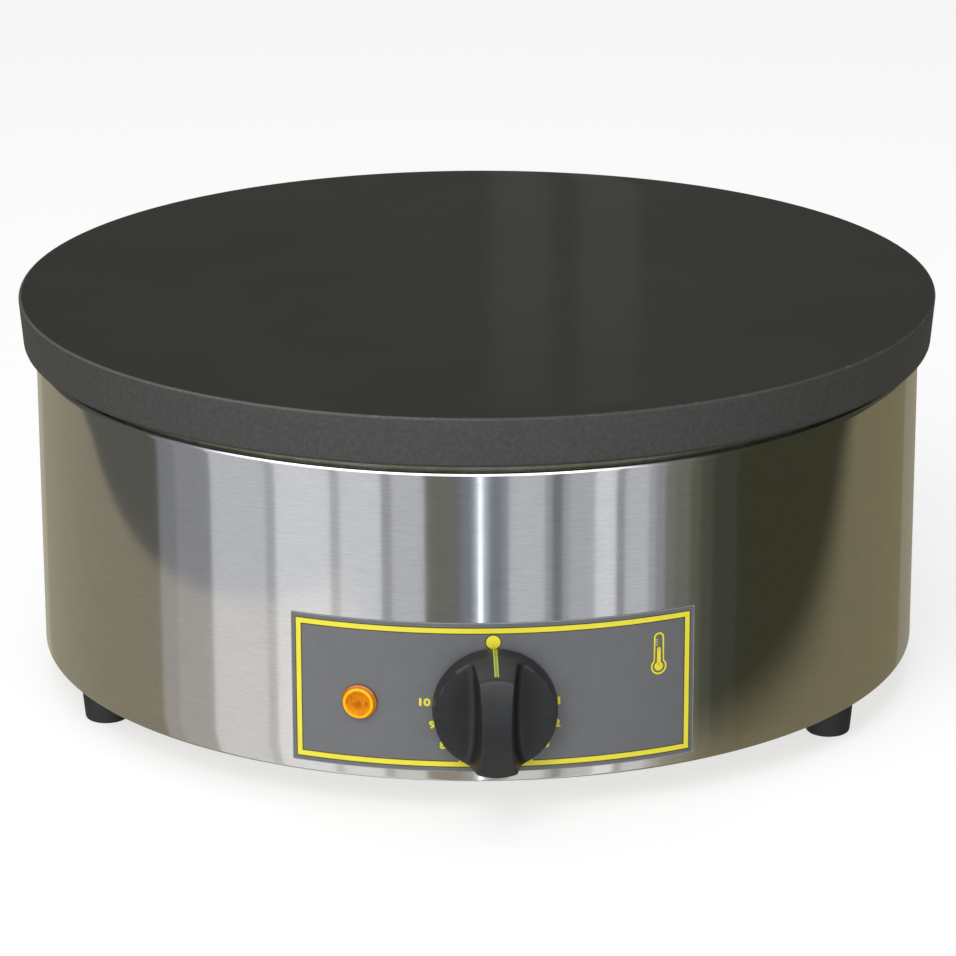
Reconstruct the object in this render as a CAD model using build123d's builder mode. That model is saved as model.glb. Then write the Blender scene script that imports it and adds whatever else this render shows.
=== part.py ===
from build123d import *
from math import acos, asin, atan2, cos, degrees, radians, sin, tan
import os

# Electric crepe maker: a round cast-iron plate held over a stainless drum, heated by two
# rings and set by one thermostat knob. Millimetres. The origin is on the drum's axis at
# counter level, +Z is up and the control panel faces -Y. A "bearing" is an angle about Z
# that starts at the panel, which is -Y, and grows towards +X.

os.makedirs("parts", exist_ok=True)

# ---- cast-iron plate ----
plate_diameter = 400.0
plate_rim_height = 21.1
plate_web = 14.0  # cast iron over the heaters
plate_draft = 1.8  # the rim is this much smaller in radius at its lower edge
plate_top_edge = 0.8
plate_low_edge = 1.5
boss_drop = 7.0  # how far the cast bosses stand below the web
centre_boss_radius = 15.0
boss_radius = 11.0

# ---- drum and base ----
plate_overhang = 7.0  # plate rim beyond the drum
plate_gap = 3.7  # air gap between plate rim and drum
drum_height = 132.2
drum_sheet = 1.2
drum_roll = 3.0  # radius of the rolled edge at the drum's top
drum_lip = 0.32  # flat left on top, inside the rolled edge
drum_edge = 0.8  # eased lower edge of the drum
flange_width = 20.0  # inward flange at the drum's foot
seam_bearing = 205.0
seam_gap = 0.3
seam_strip_width = 24.0
seam_strip_sheet = 1.0
seam_strip_margin = 10.0
tray_sheet = 1.2
tray_upstand = 8.0
tray_clearance = 0.3
vent_count = 6
vent_length = 44.0
vent_width = 8.0
vent_ring = 70.0

# ---- feet ----
foot_height = 15.0
foot_top_diameter = 20.0
foot_sole_diameter = 17.0
foot_sole_edge = 1.2
foot_inset = 13.0  # foot centre inside the drum wall
foot_recess_radius = 5.4
foot_recess_depth = 7.0
foot_pattern_turn = -5.4  # the three feet are turned a little off the panel's centre line
foot_bearings = (-60.0, 60.0, 180.0)

# ---- heater, insulation and pan ----
tube_sides = 8  # round tubes and leads inside are swept as octagons
ring_height = 7.5  # flattened sheath, flat side up
ring_width = 8.5
ring_side_slope = 76.0  # degrees; the sheath is wider where it touches the plate
outer_ring_inset = 41.6  # inside the plate's recess wall
ring_pitch = 65.0  # from the outer ring to the inner one
leg_bend = 9.0
leg_spread = 26.0  # half the distance between a ring's two legs
leg_below_pan = 8.0
bush_radius = 5.5
bush_length = 6.0
terminal_radius = 2.0
terminal_length = 14.0
terminal_nut_flats = 7.0
terminal_nut_height = 3.2
link_sheet = 1.0
link_width = 9.0
clamp_sheet = 3.0
clamp_inset = 20.0  # inside the pan wall
clamp_window_radius = 15.0
clamp_stud_radius = 4.0
clamp_stud_depth = 12.0
clamp_stud_tail = 4.0
clamp_washer_radius = 12.0
clamp_washer_height = 1.6
insulation_height = 25.0
insulation_well_radius = 16.0
pan_sheet = 1.0
pan_clearance = 1.3  # between the pan and the drum
recess_clearance = 1.1  # between the pan and the plate's rim
part_clearance = 0.5  # between a sheet and what passes through it
bend_clearance = 2.0  # the same where the capillary is still bending

# ---- columns that carry the plate ----
column_count = 3
column_bearing = 60.0
column_inset = 30.0  # inside the outer heating ring
column_flats = 16.0
column_neck_radius = 5.0
column_stud_radius = 4.0
column_stud_length = 9.0
column_screw_depth = 14.0

# ---- fasteners ----
thread_clearance = 0.05
m8_flats = 13.0
m8_head_height = 5.3
m5_radius = 2.5
m5_flats = 8.0  # heads and nuts
m5_head_height = 3.5
m5_nut_height = 4.0
m4_radius = 2.0
m4_flats = 7.0
m4_head_height = 2.8
m3_radius = 1.5
m3_flats = 5.5
m3_head_height = 2.0
bolt_tail = 1.5  # bolt end beyond its nut
screw_bite = 5.0  # screw end beyond a sheet

# ---- control panel ----
axis_height = 33.0  # spindle and lamp above the drum's lower edge
label_sheet = 0.25
label_glue = 0.1  # adhesive between the label and the drum
label_half_angle = 25.1
label_low = 4.6  # above the drum's lower edge
label_height = 64.1
spindle_hole_radius = 6.0
lamp_bearing = -16.4
lamp_hole_radius = 5.0
lamp_flange_radius = 7.2
lamp_flange_height = 1.0
lamp_lens_radius = 6.0
lamp_lens_height = 2.8
lamp_lens_edge = 0.7
lamp_dish_radius = 4.4
lamp_dish_depth = 0.7
lamp_stub_clearance = 0.1
lamp_stub_length = 6.0
lamp_body_length = 16.0
lamp_nut_radius = 8.0
lamp_nut_height = 2.0
lamp_nut_gap = 0.2

# ---- knob ----
knob_stand_off = 1.2  # between the label and the knob's back
knob_radius = 25.0
knob_rim_radius = 24.3  # at the scoops' outer edge
knob_rim_depth = 8.6
knob_end_radius = 20.6  # at the ends of the grip
knob_end_depth = 22.8
knob_depth = 26.2
knob_grip_half_width = 6.1
knob_grip_draft = 5.5  # degrees
knob_grip_root = 3.5  # fillet at the foot of the grip
knob_scoop_depth = 6.8  # lowest part of the scoops
knob_wall = 2.4
knob_hub_radius = 7.0
knob_skirt_wall = 3.0
pointer_width = 2.0
pointer_proud = 0.1
pointer_inlay = 0.6
pointer_start = 0.4

# ---- thermostat ----
spindle_radius = 3.0
spindle_running_clearance = 0.05
spindle_end_clearance = 0.5
spindle_flat = 1.4  # flat of the D above the spindle's axis
spindle_bore_depth = 15.0
spindle_reach = 16.0  # into the knob
bore_spare = 1.0
bracket_sheet = 1.5
bracket_inset = 9.0  # bracket face inside the drum wall
bracket_width = 60.0
bracket_height = 60.0
bracket_foot = 22.0
bracket_screw_spacing = 36.0
bracket_screw_edge = 6.0  # from the end of the bracket's foot
thermostat_width = 46.0
thermostat_depth = 28.0
thermostat_edge = 2.0
bushing_radius = 5.0
bushing_length = 7.0
thermostat_screw_spacing = 28.0
tab_width = 6.3
tab_sheet = 0.8
tab_length = 8.0
tab_drop = 13.0  # main tabs below the spindle's axis
tab_offset = 10.0
lamp_tab_drop = 3.0
bulb_radius = 3.0
bulb_length = 80.0
bulb_clip_sheet = 1.0
bulb_clip_width = 12.0
bulb_clip_ear = 7.5
capillary_radius = 1.0
capillary_run = 16.0  # from the bulb to the capillary's way down
capillary_entry = (-12.0, 12.0)  # across and up from the spindle's axis

# ---- supply side ----
gland_height = 30.0  # above the drum's lower edge
gland_thread_radius = 10.0
gland_flats = 24.0
gland_collar = 5.0
gland_tail = 12.0
gland_bore_radius = 5.6
gland_socket_radius = 7.6
gland_neck_radius = 9.2
gland_neck_length = 13.0
gland_nut_hex = 9.0
gland_nut_length = 21.0
gland_nut_end_radius = 8.6
gland_seal_radius = 4.75  # bore that grips the supply cable
gland_seal_length = 10.0
locknut_height = 4.0
block_length = 62.0
block_depth = 20.0
block_height = 20.0
block_edge = 1.5
block_centre = (-62.0, 118.0)
block_pitch = 18.0
clamp_width = 6.6
clamp_bore = 2.0
earth_place = (-112.0, 52.0)
earth_stud_height = 16.0
lead_radius = 1.3
lead_straight = 24.0  # straight runs at a lead's ends
earth_straight = 18.0
bend_share = 0.45  # part of a run that one bend may take
capillary_drop = 22.0  # below the pan before it turns
lamp_pin_spacing = 2.4
lamp_link_offset = 12.0  # beside the neutral lead on its link
tap_straight = 14.0
earth_lead_z = 23.4
# between their straight ends the leads pass these points: across, back and height
live_route = [(-24.0, 20.0, 24.0), (2.0, -60.0, 26.0)]
neutral_route = [(-46.0, 92.0, 66.0)]
element_route = [(22.0, -50.0, 58.0), (34.0, 50.0, 62.0)]
lamp_route = [(-66.0, -60.0, 60.0), (-60.0, 40.0, 76.0)]
lead_gap = 0.2  # between a lead's end and the side of its tab

# ---- heights and radii that follow ----
plate_radius = plate_diameter / 2
drum_radius = plate_radius - plate_overhang
drum_inner = drum_radius - drum_sheet
drum_bottom = foot_height
drum_top = drum_bottom + drum_height
plate_bottom = drum_top + plate_gap
plate_top = plate_bottom + plate_rim_height
web_bottom = plate_top - plate_web
boss_face = web_bottom - boss_drop
pan_outer = drum_inner - pan_clearance
pan_inner = pan_outer - pan_sheet
recess_radius = pan_outer + recess_clearance
clamp_top = web_bottom - ring_height
clamp_bottom = clamp_top - clamp_sheet
pan_floor_top = clamp_bottom - insulation_height
pan_bottom = pan_floor_top - pan_sheet
tray_bottom = drum_bottom + drum_sheet
tray_top = tray_bottom + tray_sheet
tray_radius = drum_inner - tray_clearance
outer_ring = recess_radius - outer_ring_inset
inner_ring = outer_ring - ring_pitch
column_ring = outer_ring - column_inset
bulb_ring = outer_ring - ring_pitch / 2
foot_ring = drum_radius - foot_inset
label_radius = drum_radius + label_glue + label_sheet
axis_z = drum_bottom + axis_height
knob_back = -(label_radius + knob_stand_off)
bracket_face = -(drum_inner - bracket_inset)
bracket_back = bracket_face + bracket_sheet
thermostat_back = bracket_back + thermostat_depth
gland_z = drum_bottom + gland_height
leg_end = pan_bottom - leg_below_pan
bush_end = leg_end - bush_length
link_bottom = bush_end - link_sheet
spindle_axis = Axis((0, 0, axis_z), (0, 1, 0))


# ---- places ----
def at(radius, bearing, height=0.0):
    """The point at a radius, bearing and height."""
    turn = radians(bearing)
    return (radius * sin(turn), -radius * cos(turn), height)


def section_plane(bearing):
    """The upright plane through the Z axis at a bearing: local x is the radius and y the height."""
    turn = radians(bearing)
    return Plane((0, 0, 0), x_dir=(sin(turn), -cos(turn), 0), z_dir=(-cos(turn), -sin(turn), 0))


def wall_plane(radius, bearing, height):
    """The plane that touches an upright cylinder: its normal points out, local y is up."""
    turn = radians(bearing)
    return Plane(
        at(radius, bearing, height),
        x_dir=(cos(turn), sin(turn), 0),
        z_dir=(sin(turn), -cos(turn), 0),
    )


def around(radius, count, bearing):
    """Evenly spaced places on a circle, the first at a bearing."""
    return PolarLocations(radius, count, start_angle=bearing - 90)


def columns():
    return around(column_ring, column_count, column_bearing)


def foot_places():
    """The feet's centres in plan."""
    return [at(foot_ring, bearing + foot_pattern_turn) for bearing in foot_bearings]


def feet():
    return Locations(foot_places())


def hexagon(flats):
    """The outline of a nut or a bolt head, by its size across flats."""
    return RegularPolygon(flats / 2, 6, major_radius=False)


def corner(sketch, x, y):
    """The sketch's corner nearest to a point of its plane."""
    return sketch.vertices().sort_by_distance((x, y, 0))[0]


def leg_turn(ring):
    """Half the opening of a heating ring, in degrees."""
    return degrees(asin((leg_spread + leg_bend) / ring))


def leg_points():
    """Where the heaters' four legs go down: outer and inner ring, then each side."""
    places = []
    for ring in (outer_ring, inner_ring):
        half = radians(leg_turn(ring))
        x = ring * sin(half) - leg_bend * cos(half)
        y = ring * cos(half) + leg_bend * sin(half)
        places += [(side * x, y) for side in (-1, 1)]
    return places


def link_middle(side):
    """The middle of the link between a side's two terminals."""
    ends = [point for point in leg_points() if point[0] * side > 0]
    return tuple(sum(axis) / 2 for axis in zip(*ends))


# =========================================================== plate and what heats it
leg_opening = ring_height + 2 * part_clearance
clamp_opening = (2 * (leg_bend + part_clearance), leg_opening + 2 * bend_clearance)
bulb_centre = at(bulb_ring, 0, web_bottom - bulb_radius)
capillary_hole = (-bulb_length / 2 - capillary_run, -bulb_ring)
clip_screw_offset = bulb_radius + bulb_clip_sheet + bulb_clip_ear / 2

with BuildPart() as griddle_plate:
    with BuildSketch(Plane.XZ) as plate_section:
        with BuildLine():
            Polyline(
                (0, web_bottom),
                (recess_radius, web_bottom),
                (recess_radius, plate_bottom),
                (plate_radius - plate_draft, plate_bottom),
                (plate_radius, plate_top),
                (0, plate_top),
                close=True,
            )
        make_face()
        chamfer(corner(plate_section, plate_radius, plate_top), plate_top_edge)
        chamfer(corner(plate_section, plate_radius - plate_draft, plate_bottom), plate_low_edge)
    revolve(axis=Axis.Z)
    with BuildSketch(Plane.XY.offset(boss_face)):
        Circle(centre_boss_radius)
        with columns():
            Circle(boss_radius)
    extrude(amount=boss_drop)
    with BuildSketch(Plane.XY.offset(boss_face)):
        with columns():
            Circle(column_stud_radius + thread_clearance)
    extrude(amount=column_stud_length + bore_spare, mode=Mode.SUBTRACT)
    with BuildSketch(Plane.XY.offset(boss_face)):
        Circle(clamp_stud_radius + thread_clearance)
    extrude(amount=clamp_stud_depth + bore_spare, mode=Mode.SUBTRACT)
    with BuildSketch(Plane.XY.offset(web_bottom)):
        with Locations((0, -bulb_ring)):
            with GridLocations(0, 2 * clip_screw_offset, 1, 2):
                Circle(m3_radius + thread_clearance)
    extrude(amount=screw_bite + bore_spare, mode=Mode.SUBTRACT)

griddle_plate.part.label = "griddle_plate"
export_step(griddle_plate.part, "parts/griddle_plate.step")


def heating_ring(ring):
    """A sheathed heater: a flattened ring, open at the rear, with two round legs going down."""
    opening = leg_turn(ring)
    ring_z = web_bottom - ring_height / 2
    with BuildPart() as heater:
        with BuildSketch(section_plane(180 + opening)):
            with Locations((ring, ring_z)):
                Trapezoid(ring_width, ring_height, ring_side_slope, rotation=180)
        revolve(axis=Axis.Z, revolution_arc=360 - 2 * opening)
        for side in (-1, 1):
            bearing = radians(180 - side * opening)
            ahead = (side * cos(bearing), side * sin(bearing), 0)
            across = (sin(bearing), -cos(bearing), 0)
            start = at(ring, degrees(bearing), ring_z)
            leg_plane = Plane(start, x_dir=ahead, z_dir=Vector(ahead).cross(Vector(0, 0, 1)))
            with BuildLine(leg_plane) as leg_path:
                bend = JernArc(start=(0, 0), tangent=(1, 0), radius=leg_bend, arc_size=-90)
                Line(bend @ 1, (leg_bend, leg_end - ring_z))
            with BuildSketch(Plane(start, x_dir=across, z_dir=ahead)):
                RegularPolygon(ring_height / 2, tube_sides)
            sweep(path=leg_path.line)
    return heater


outer_heating_ring = heating_ring(outer_ring)
outer_heating_ring.part.label = "outer_heating_ring"
export_step(outer_heating_ring.part, "parts/outer_heating_ring.step")

inner_heating_ring = heating_ring(inner_ring)
inner_heating_ring.part.label = "inner_heating_ring"
export_step(inner_heating_ring.part, "parts/inner_heating_ring.step")

with BuildPart() as terminal_bushes:
    with BuildSketch(Plane.XY.offset(bush_end)):
        with Locations(leg_points()):
            Circle(bush_radius)
            Circle(terminal_radius + thread_clearance, mode=Mode.SUBTRACT)
    extrude(amount=bush_length)

terminal_bushes.part.label = "terminal_bushes"
export_step(terminal_bushes.part, "parts/terminal_bushes.step")

with BuildPart() as terminal_studs:
    with BuildSketch(Plane.XY.offset(leg_end)):
        with Locations(leg_points()):
            Circle(terminal_radius)
    extrude(amount=-terminal_length)

terminal_studs.part.label = "terminal_studs"
export_step(terminal_studs.part, "parts/terminal_studs.step")

with BuildPart() as terminal_links:
    for side in (-1, 1):
        ends = [point for point in leg_points() if point[0] * side > 0]
        reach = Vector(*ends[0]) - Vector(*ends[1])
        with BuildSketch(Plane.XY.offset(link_bottom)):
            with Locations(link_middle(side)):
                SlotCenterToCenter(reach.length, link_width, degrees(atan2(reach.Y, reach.X)))
            with Locations(ends):
                Circle(terminal_radius + thread_clearance, mode=Mode.SUBTRACT)
        extrude(amount=link_sheet)

terminal_links.part.label = "terminal_links"
export_step(terminal_links.part, "parts/terminal_links.step")

with BuildPart() as terminal_nuts:
    with BuildSketch(Plane.XY.offset(link_bottom)):
        with Locations(leg_points()):
            hexagon(terminal_nut_flats)
            Circle(terminal_radius + thread_clearance, mode=Mode.SUBTRACT)
    extrude(amount=-terminal_nut_height)

terminal_nuts.part.label = "terminal_nuts"
export_step(terminal_nuts.part, "parts/terminal_nuts.step")

with BuildPart() as element_clamp_plate:
    with BuildSketch(Plane.XY.offset(clamp_bottom)):
        Circle(pan_inner - clamp_inset)
        Circle(clamp_stud_radius + part_clearance, mode=Mode.SUBTRACT)
        with columns():
            Circle(column_neck_radius + part_clearance, mode=Mode.SUBTRACT)
        with around(column_ring, column_count, column_bearing + 180 / column_count):
            Circle(clamp_window_radius, mode=Mode.SUBTRACT)
        with Locations(leg_points()):
            Rectangle(*clamp_opening, mode=Mode.SUBTRACT)
        with Locations(capillary_hole):
            Circle(capillary_radius + bend_clearance, mode=Mode.SUBTRACT)
    extrude(amount=clamp_sheet)

element_clamp_plate.part.label = "element_clamp_plate"
export_step(element_clamp_plate.part, "parts/element_clamp_plate.step")

with BuildPart() as clamp_stud:
    nut_bottom = clamp_bottom - clamp_washer_height - m8_head_height
    with BuildSketch(Plane.XY.offset(nut_bottom - clamp_stud_tail)):
        Circle(clamp_stud_radius)
    extrude(amount=boss_face + clamp_stud_depth - nut_bottom + clamp_stud_tail)

clamp_stud.part.label = "clamp_stud"
export_step(clamp_stud.part, "parts/clamp_stud.step")

with BuildPart() as clamp_washer:
    with BuildSketch(Plane.XY.offset(clamp_bottom)):
        Circle(clamp_washer_radius)
        Circle(clamp_stud_radius + thread_clearance, mode=Mode.SUBTRACT)
    extrude(amount=-clamp_washer_height)

clamp_washer.part.label = "clamp_washer"
export_step(clamp_washer.part, "parts/clamp_washer.step")

with BuildPart() as clamp_nut:
    with BuildSketch(Plane.XY.offset(nut_bottom)):
        hexagon(m8_flats)
        Circle(clamp_stud_radius + thread_clearance, mode=Mode.SUBTRACT)
    extrude(amount=m8_head_height)

clamp_nut.part.label = "clamp_nut"
export_step(clamp_nut.part, "parts/clamp_nut.step")

with BuildPart() as insulation_disc:
    with BuildSketch(Plane.XY.offset(pan_floor_top)):
        Circle(pan_inner - part_clearance)
        Circle(insulation_well_radius, mode=Mode.SUBTRACT)
        with columns():
            Circle(column_neck_radius + part_clearance, mode=Mode.SUBTRACT)
        with Locations(leg_points()):
            Rectangle(leg_opening, leg_opening, mode=Mode.SUBTRACT)
        with Locations(capillary_hole):
            Circle(capillary_radius + part_clearance, mode=Mode.SUBTRACT)
    extrude(amount=insulation_height)

insulation_disc.part.label = "insulation_disc"
export_step(insulation_disc.part, "parts/insulation_disc.step")

with BuildPart() as insulation_pan:
    with BuildSketch(Plane.XZ):
        with BuildLine():
            Polyline(
                (0, pan_bottom),
                (pan_outer, pan_bottom),
                (pan_outer, web_bottom),
                (pan_inner, web_bottom),
                (pan_inner, pan_floor_top),
                (0, pan_floor_top),
                close=True,
            )
        make_face()
    revolve(axis=Axis.Z)
    with BuildSketch(Plane.XY.offset(pan_bottom)):
        with columns():
            Circle(column_neck_radius + part_clearance)
        with Locations(leg_points()):
            Rectangle(leg_opening, leg_opening)
        with Locations(capillary_hole):
            Circle(capillary_radius + part_clearance)
    extrude(amount=pan_sheet, mode=Mode.SUBTRACT)

insulation_pan.part.label = "insulation_pan"
export_step(insulation_pan.part, "parts/insulation_pan.step")

with BuildPart() as support_columns:
    with BuildSketch(Plane.XY.offset(tray_top)):
        with columns():
            hexagon(column_flats)
    extrude(amount=pan_bottom - tray_top)
    for bottom, top, radius in (
        (pan_bottom, boss_face, column_neck_radius),
        (boss_face, boss_face + column_stud_length, column_stud_radius),
    ):
        with BuildSketch(Plane.XY.offset(bottom)):
            with columns():
                Circle(radius)
        extrude(amount=top - bottom)
    with BuildSketch(Plane.XY.offset(tray_top)):
        with columns():
            Circle(column_stud_radius + thread_clearance)
    extrude(amount=column_screw_depth + bore_spare, mode=Mode.SUBTRACT)

support_columns.part.label = "support_columns"
export_step(support_columns.part, "parts/support_columns.step")

with BuildPart() as column_screws:
    with BuildSketch(Plane.XY.offset(tray_bottom)):
        with columns():
            hexagon(m8_flats)
    extrude(amount=-m8_head_height)
    with BuildSketch(Plane.XY.offset(tray_bottom)):
        with columns():
            Circle(column_stud_radius)
    extrude(amount=tray_sheet + column_screw_depth)

column_screws.part.label = "column_screws"
export_step(column_screws.part, "parts/column_screws.step")

# =========================================================== drum, base tray and feet
with BuildPart() as drum_shell:
    roll_turn = acos(1 - (drum_sheet - drum_lip) / drum_roll)
    roll_start = (drum_radius, drum_top - drum_roll * sin(roll_turn))
    with BuildSketch(Plane.XZ) as drum_section:
        with BuildLine():
            roll = JernArc(roll_start, (0, 1), drum_roll, degrees(roll_turn))
            Polyline(
                roll @ 1,
                (drum_inner, drum_top),
                (drum_inner, tray_bottom),
                (drum_radius - flange_width, tray_bottom),
                (drum_radius - flange_width, drum_bottom),
                (drum_radius, drum_bottom),
                roll_start,
            )
        make_face()
        chamfer(corner(drum_section, drum_radius, drum_bottom), drum_edge)
    revolve(axis=Axis.Z)
    for hole, bearing, height in (
        (spindle_hole_radius, 0, axis_z),
        (lamp_hole_radius, lamp_bearing, axis_z),
        (gland_thread_radius + part_clearance, 180, gland_z),
    ):
        with BuildSketch(wall_plane(drum_radius, bearing, height)):
            Circle(hole)
        extrude(amount=2 * drum_sheet, both=True, mode=Mode.SUBTRACT)
    with BuildSketch(wall_plane(drum_radius, seam_bearing, tray_top)):
        Rectangle(seam_gap, drum_top - tray_top, align=(Align.CENTER, Align.MIN))
    extrude(amount=-2 * drum_sheet, mode=Mode.SUBTRACT)
    with BuildSketch(Plane.XY.offset(drum_bottom)):
        with feet():
            Circle(m5_radius + thread_clearance)
    extrude(amount=drum_sheet, mode=Mode.SUBTRACT)

drum_shell.part.label = "drum_shell"
export_step(drum_shell.part, "parts/drum_shell.step")

with BuildPart() as seam_strip:
    strip_outer = drum_inner - thread_clearance
    strip_angle = degrees(seam_strip_width / drum_inner)
    strip_low = tray_top + tray_upstand + seam_strip_margin
    strip_high = drum_top - seam_strip_margin
    with BuildSketch(section_plane(seam_bearing - strip_angle / 2)):
        with Locations((strip_outer - seam_strip_sheet, strip_low)):
            Rectangle(seam_strip_sheet, strip_high - strip_low, align=(Align.MIN, Align.MIN))
    revolve(axis=Axis.Z, revolution_arc=strip_angle)

seam_strip.part.label = "seam_strip"
export_step(seam_strip.part, "parts/seam_strip.step")

tab_places = [(tab_offset, -tab_drop), (-tab_offset, -tab_drop), (-tab_offset, -lamp_tab_drop)]
bracket_screw_y = bracket_back + bracket_foot - bracket_screw_edge
block_screw_places = [
    (block_centre[0] + side * block_pitch / 2, block_centre[1]) for side in (-1, 1)
]
bracket_screw_places = [
    (side * bracket_screw_spacing / 2, bracket_screw_y) for side in (-1, 1)
]

with BuildPart() as base_tray:
    with BuildSketch(Plane.XZ):
        with BuildLine():
            Polyline(
                (0, tray_bottom),
                (tray_radius, tray_bottom),
                (tray_radius, tray_top + tray_upstand),
                (tray_radius - tray_sheet, tray_top + tray_upstand),
                (tray_radius - tray_sheet, tray_top),
                (0, tray_top),
                close=True,
            )
        make_face()
    revolve(axis=Axis.Z)
    with BuildSketch(Plane.XY.offset(tray_bottom)):
        with PolarLocations(vent_ring, vent_count):
            SlotOverall(vent_length, vent_width)
        with columns():
            Circle(column_stud_radius + thread_clearance)
        with feet():
            Circle(m5_radius + thread_clearance)
        with Locations(block_screw_places + bracket_screw_places):
            Circle(m4_radius + thread_clearance)
        with Locations(earth_place):
            Circle(m5_radius + thread_clearance)
    extrude(amount=tray_sheet, mode=Mode.SUBTRACT)

base_tray.part.label = "base_tray"
export_step(base_tray.part, "parts/base_tray.step")

with BuildPart() as rubber_feet:
    foot_hole = m5_radius + thread_clearance
    for place in foot_places():
        with BuildSketch(Plane(place, x_dir=(1, 0, 0), z_dir=(0, -1, 0))) as foot_section:
            with BuildLine():
                Polyline(
                    (foot_hole, foot_height),
                    (foot_top_diameter / 2, foot_height),
                    (foot_sole_diameter / 2, 0),
                    (foot_recess_radius, 0),
                    (foot_recess_radius, foot_recess_depth),
                    (foot_hole, foot_recess_depth),
                    close=True,
                )
            make_face()
            chamfer(corner(foot_section, foot_sole_diameter / 2, 0), foot_sole_edge)
        revolve(axis=Axis(place, (0, 0, 1)))

rubber_feet.part.label = "rubber_feet"
export_step(rubber_feet.part, "parts/rubber_feet.step")

with BuildPart() as foot_screws:
    with BuildSketch(Plane.XY.offset(foot_recess_depth)):
        with feet():
            hexagon(m5_flats)
    extrude(amount=-m5_head_height)
    with BuildSketch(Plane.XY.offset(foot_recess_depth)):
        with feet():
            Circle(m5_radius)
    extrude(amount=tray_top + m5_nut_height + bolt_tail - foot_recess_depth)

foot_screws.part.label = "foot_screws"
export_step(foot_screws.part, "parts/foot_screws.step")

with BuildPart() as foot_nuts:
    with BuildSketch(Plane.XY.offset(tray_top)):
        with feet():
            hexagon(m5_flats)
            Circle(m5_radius + thread_clearance, mode=Mode.SUBTRACT)
    extrude(amount=m5_nut_height)

foot_nuts.part.label = "foot_nuts"
export_step(foot_nuts.part, "parts/foot_nuts.step")

# =========================================================== control panel
with BuildPart() as control_label:
    with BuildSketch(section_plane(-label_half_angle)):
        with Locations((label_radius, drum_bottom + label_low)):
            Rectangle(label_sheet, label_height, align=(Align.MAX, Align.MIN))
    revolve(axis=Axis.Z, revolution_arc=2 * label_half_angle)
    for hole, bearing in ((spindle_hole_radius, 0), (lamp_hole_radius, lamp_bearing)):
        with BuildSketch(wall_plane(drum_radius, bearing, axis_z)):
            Circle(hole)
        extrude(amount=drum_sheet, both=True, mode=Mode.SUBTRACT)

control_label.part.label = "control_label"
export_step(control_label.part, "parts/control_label.step")

lamp_stub_radius = lamp_hole_radius - lamp_stub_clearance

with BuildPart() as pilot_lamp_lens:
    for start, height, radius in (
        (0, lamp_flange_height, lamp_flange_radius),
        (0, -lamp_stub_length, lamp_stub_radius),
        (lamp_flange_height, lamp_lens_height - lamp_flange_height, lamp_lens_radius),
    ):
        with BuildSketch(wall_plane(label_radius + start, lamp_bearing, axis_z)):
            Circle(radius)
        extrude(amount=height)
    lens_face = pilot_lamp_lens.faces().sort_by_distance(
        at(label_radius + lamp_lens_height, lamp_bearing, axis_z)
    )[0]
    chamfer(lens_face.edges(), lamp_lens_edge)
    with BuildSketch(wall_plane(label_radius + lamp_lens_height, lamp_bearing, axis_z)):
        Circle(lamp_dish_radius)
    extrude(amount=-lamp_dish_depth, mode=Mode.SUBTRACT)

pilot_lamp_lens.part.label = "pilot_lamp_lens"
export_step(pilot_lamp_lens.part, "parts/pilot_lamp_lens.step")

lamp_body_face = label_radius - lamp_stub_length
lamp_body_end = lamp_body_face - lamp_body_length

with BuildPart() as pilot_lamp_body:
    with BuildSketch(wall_plane(lamp_body_face, lamp_bearing, axis_z)):
        Circle(lamp_stub_radius)
    extrude(amount=-lamp_body_length)

pilot_lamp_body.part.label = "pilot_lamp_body"
export_step(pilot_lamp_body.part, "parts/pilot_lamp_body.step")

with BuildPart() as pilot_lamp_nut:
    with BuildSketch(wall_plane(drum_inner - lamp_nut_gap, lamp_bearing, axis_z)):
        Circle(lamp_nut_radius)
        Circle(lamp_stub_radius + thread_clearance, mode=Mode.SUBTRACT)
    extrude(amount=-lamp_nut_height)

pilot_lamp_nut.part.label = "pilot_lamp_nut"
export_step(pilot_lamp_nut.part, "parts/pilot_lamp_nut.step")


# =========================================================== knob on the spindle
def knob_point(radius, depth):
    """A point of the knob's upright section: radius above its axis, depth in front of its back."""
    return (knob_back - depth, axis_z + radius)


flat_cutter = (2 * knob_hub_radius, spindle_radius)
knob_cone = (knob_rim_radius - knob_end_radius) / (knob_end_depth - knob_rim_depth)
knob_front_radius = knob_end_radius - knob_cone * (knob_depth - knob_end_depth)

with BuildPart() as knob_pointer:
    outline = [
        (knob_radius, pointer_start),
        (knob_rim_radius, knob_rim_depth),
        (knob_end_radius, knob_end_depth),
    ]
    with BuildSketch(Plane.YZ):
        with BuildLine():
            Polyline(
                *[knob_point(radius + pointer_proud, depth) for radius, depth in outline],
                *[knob_point(radius - pointer_inlay, depth) for radius, depth in reversed(outline)],
                close=True,
            )
        make_face()
    extrude(amount=pointer_width / 2, both=True)

knob_pointer.part.label = "knob_pointer"
export_step(knob_pointer.part, "parts/knob_pointer.step")

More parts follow.
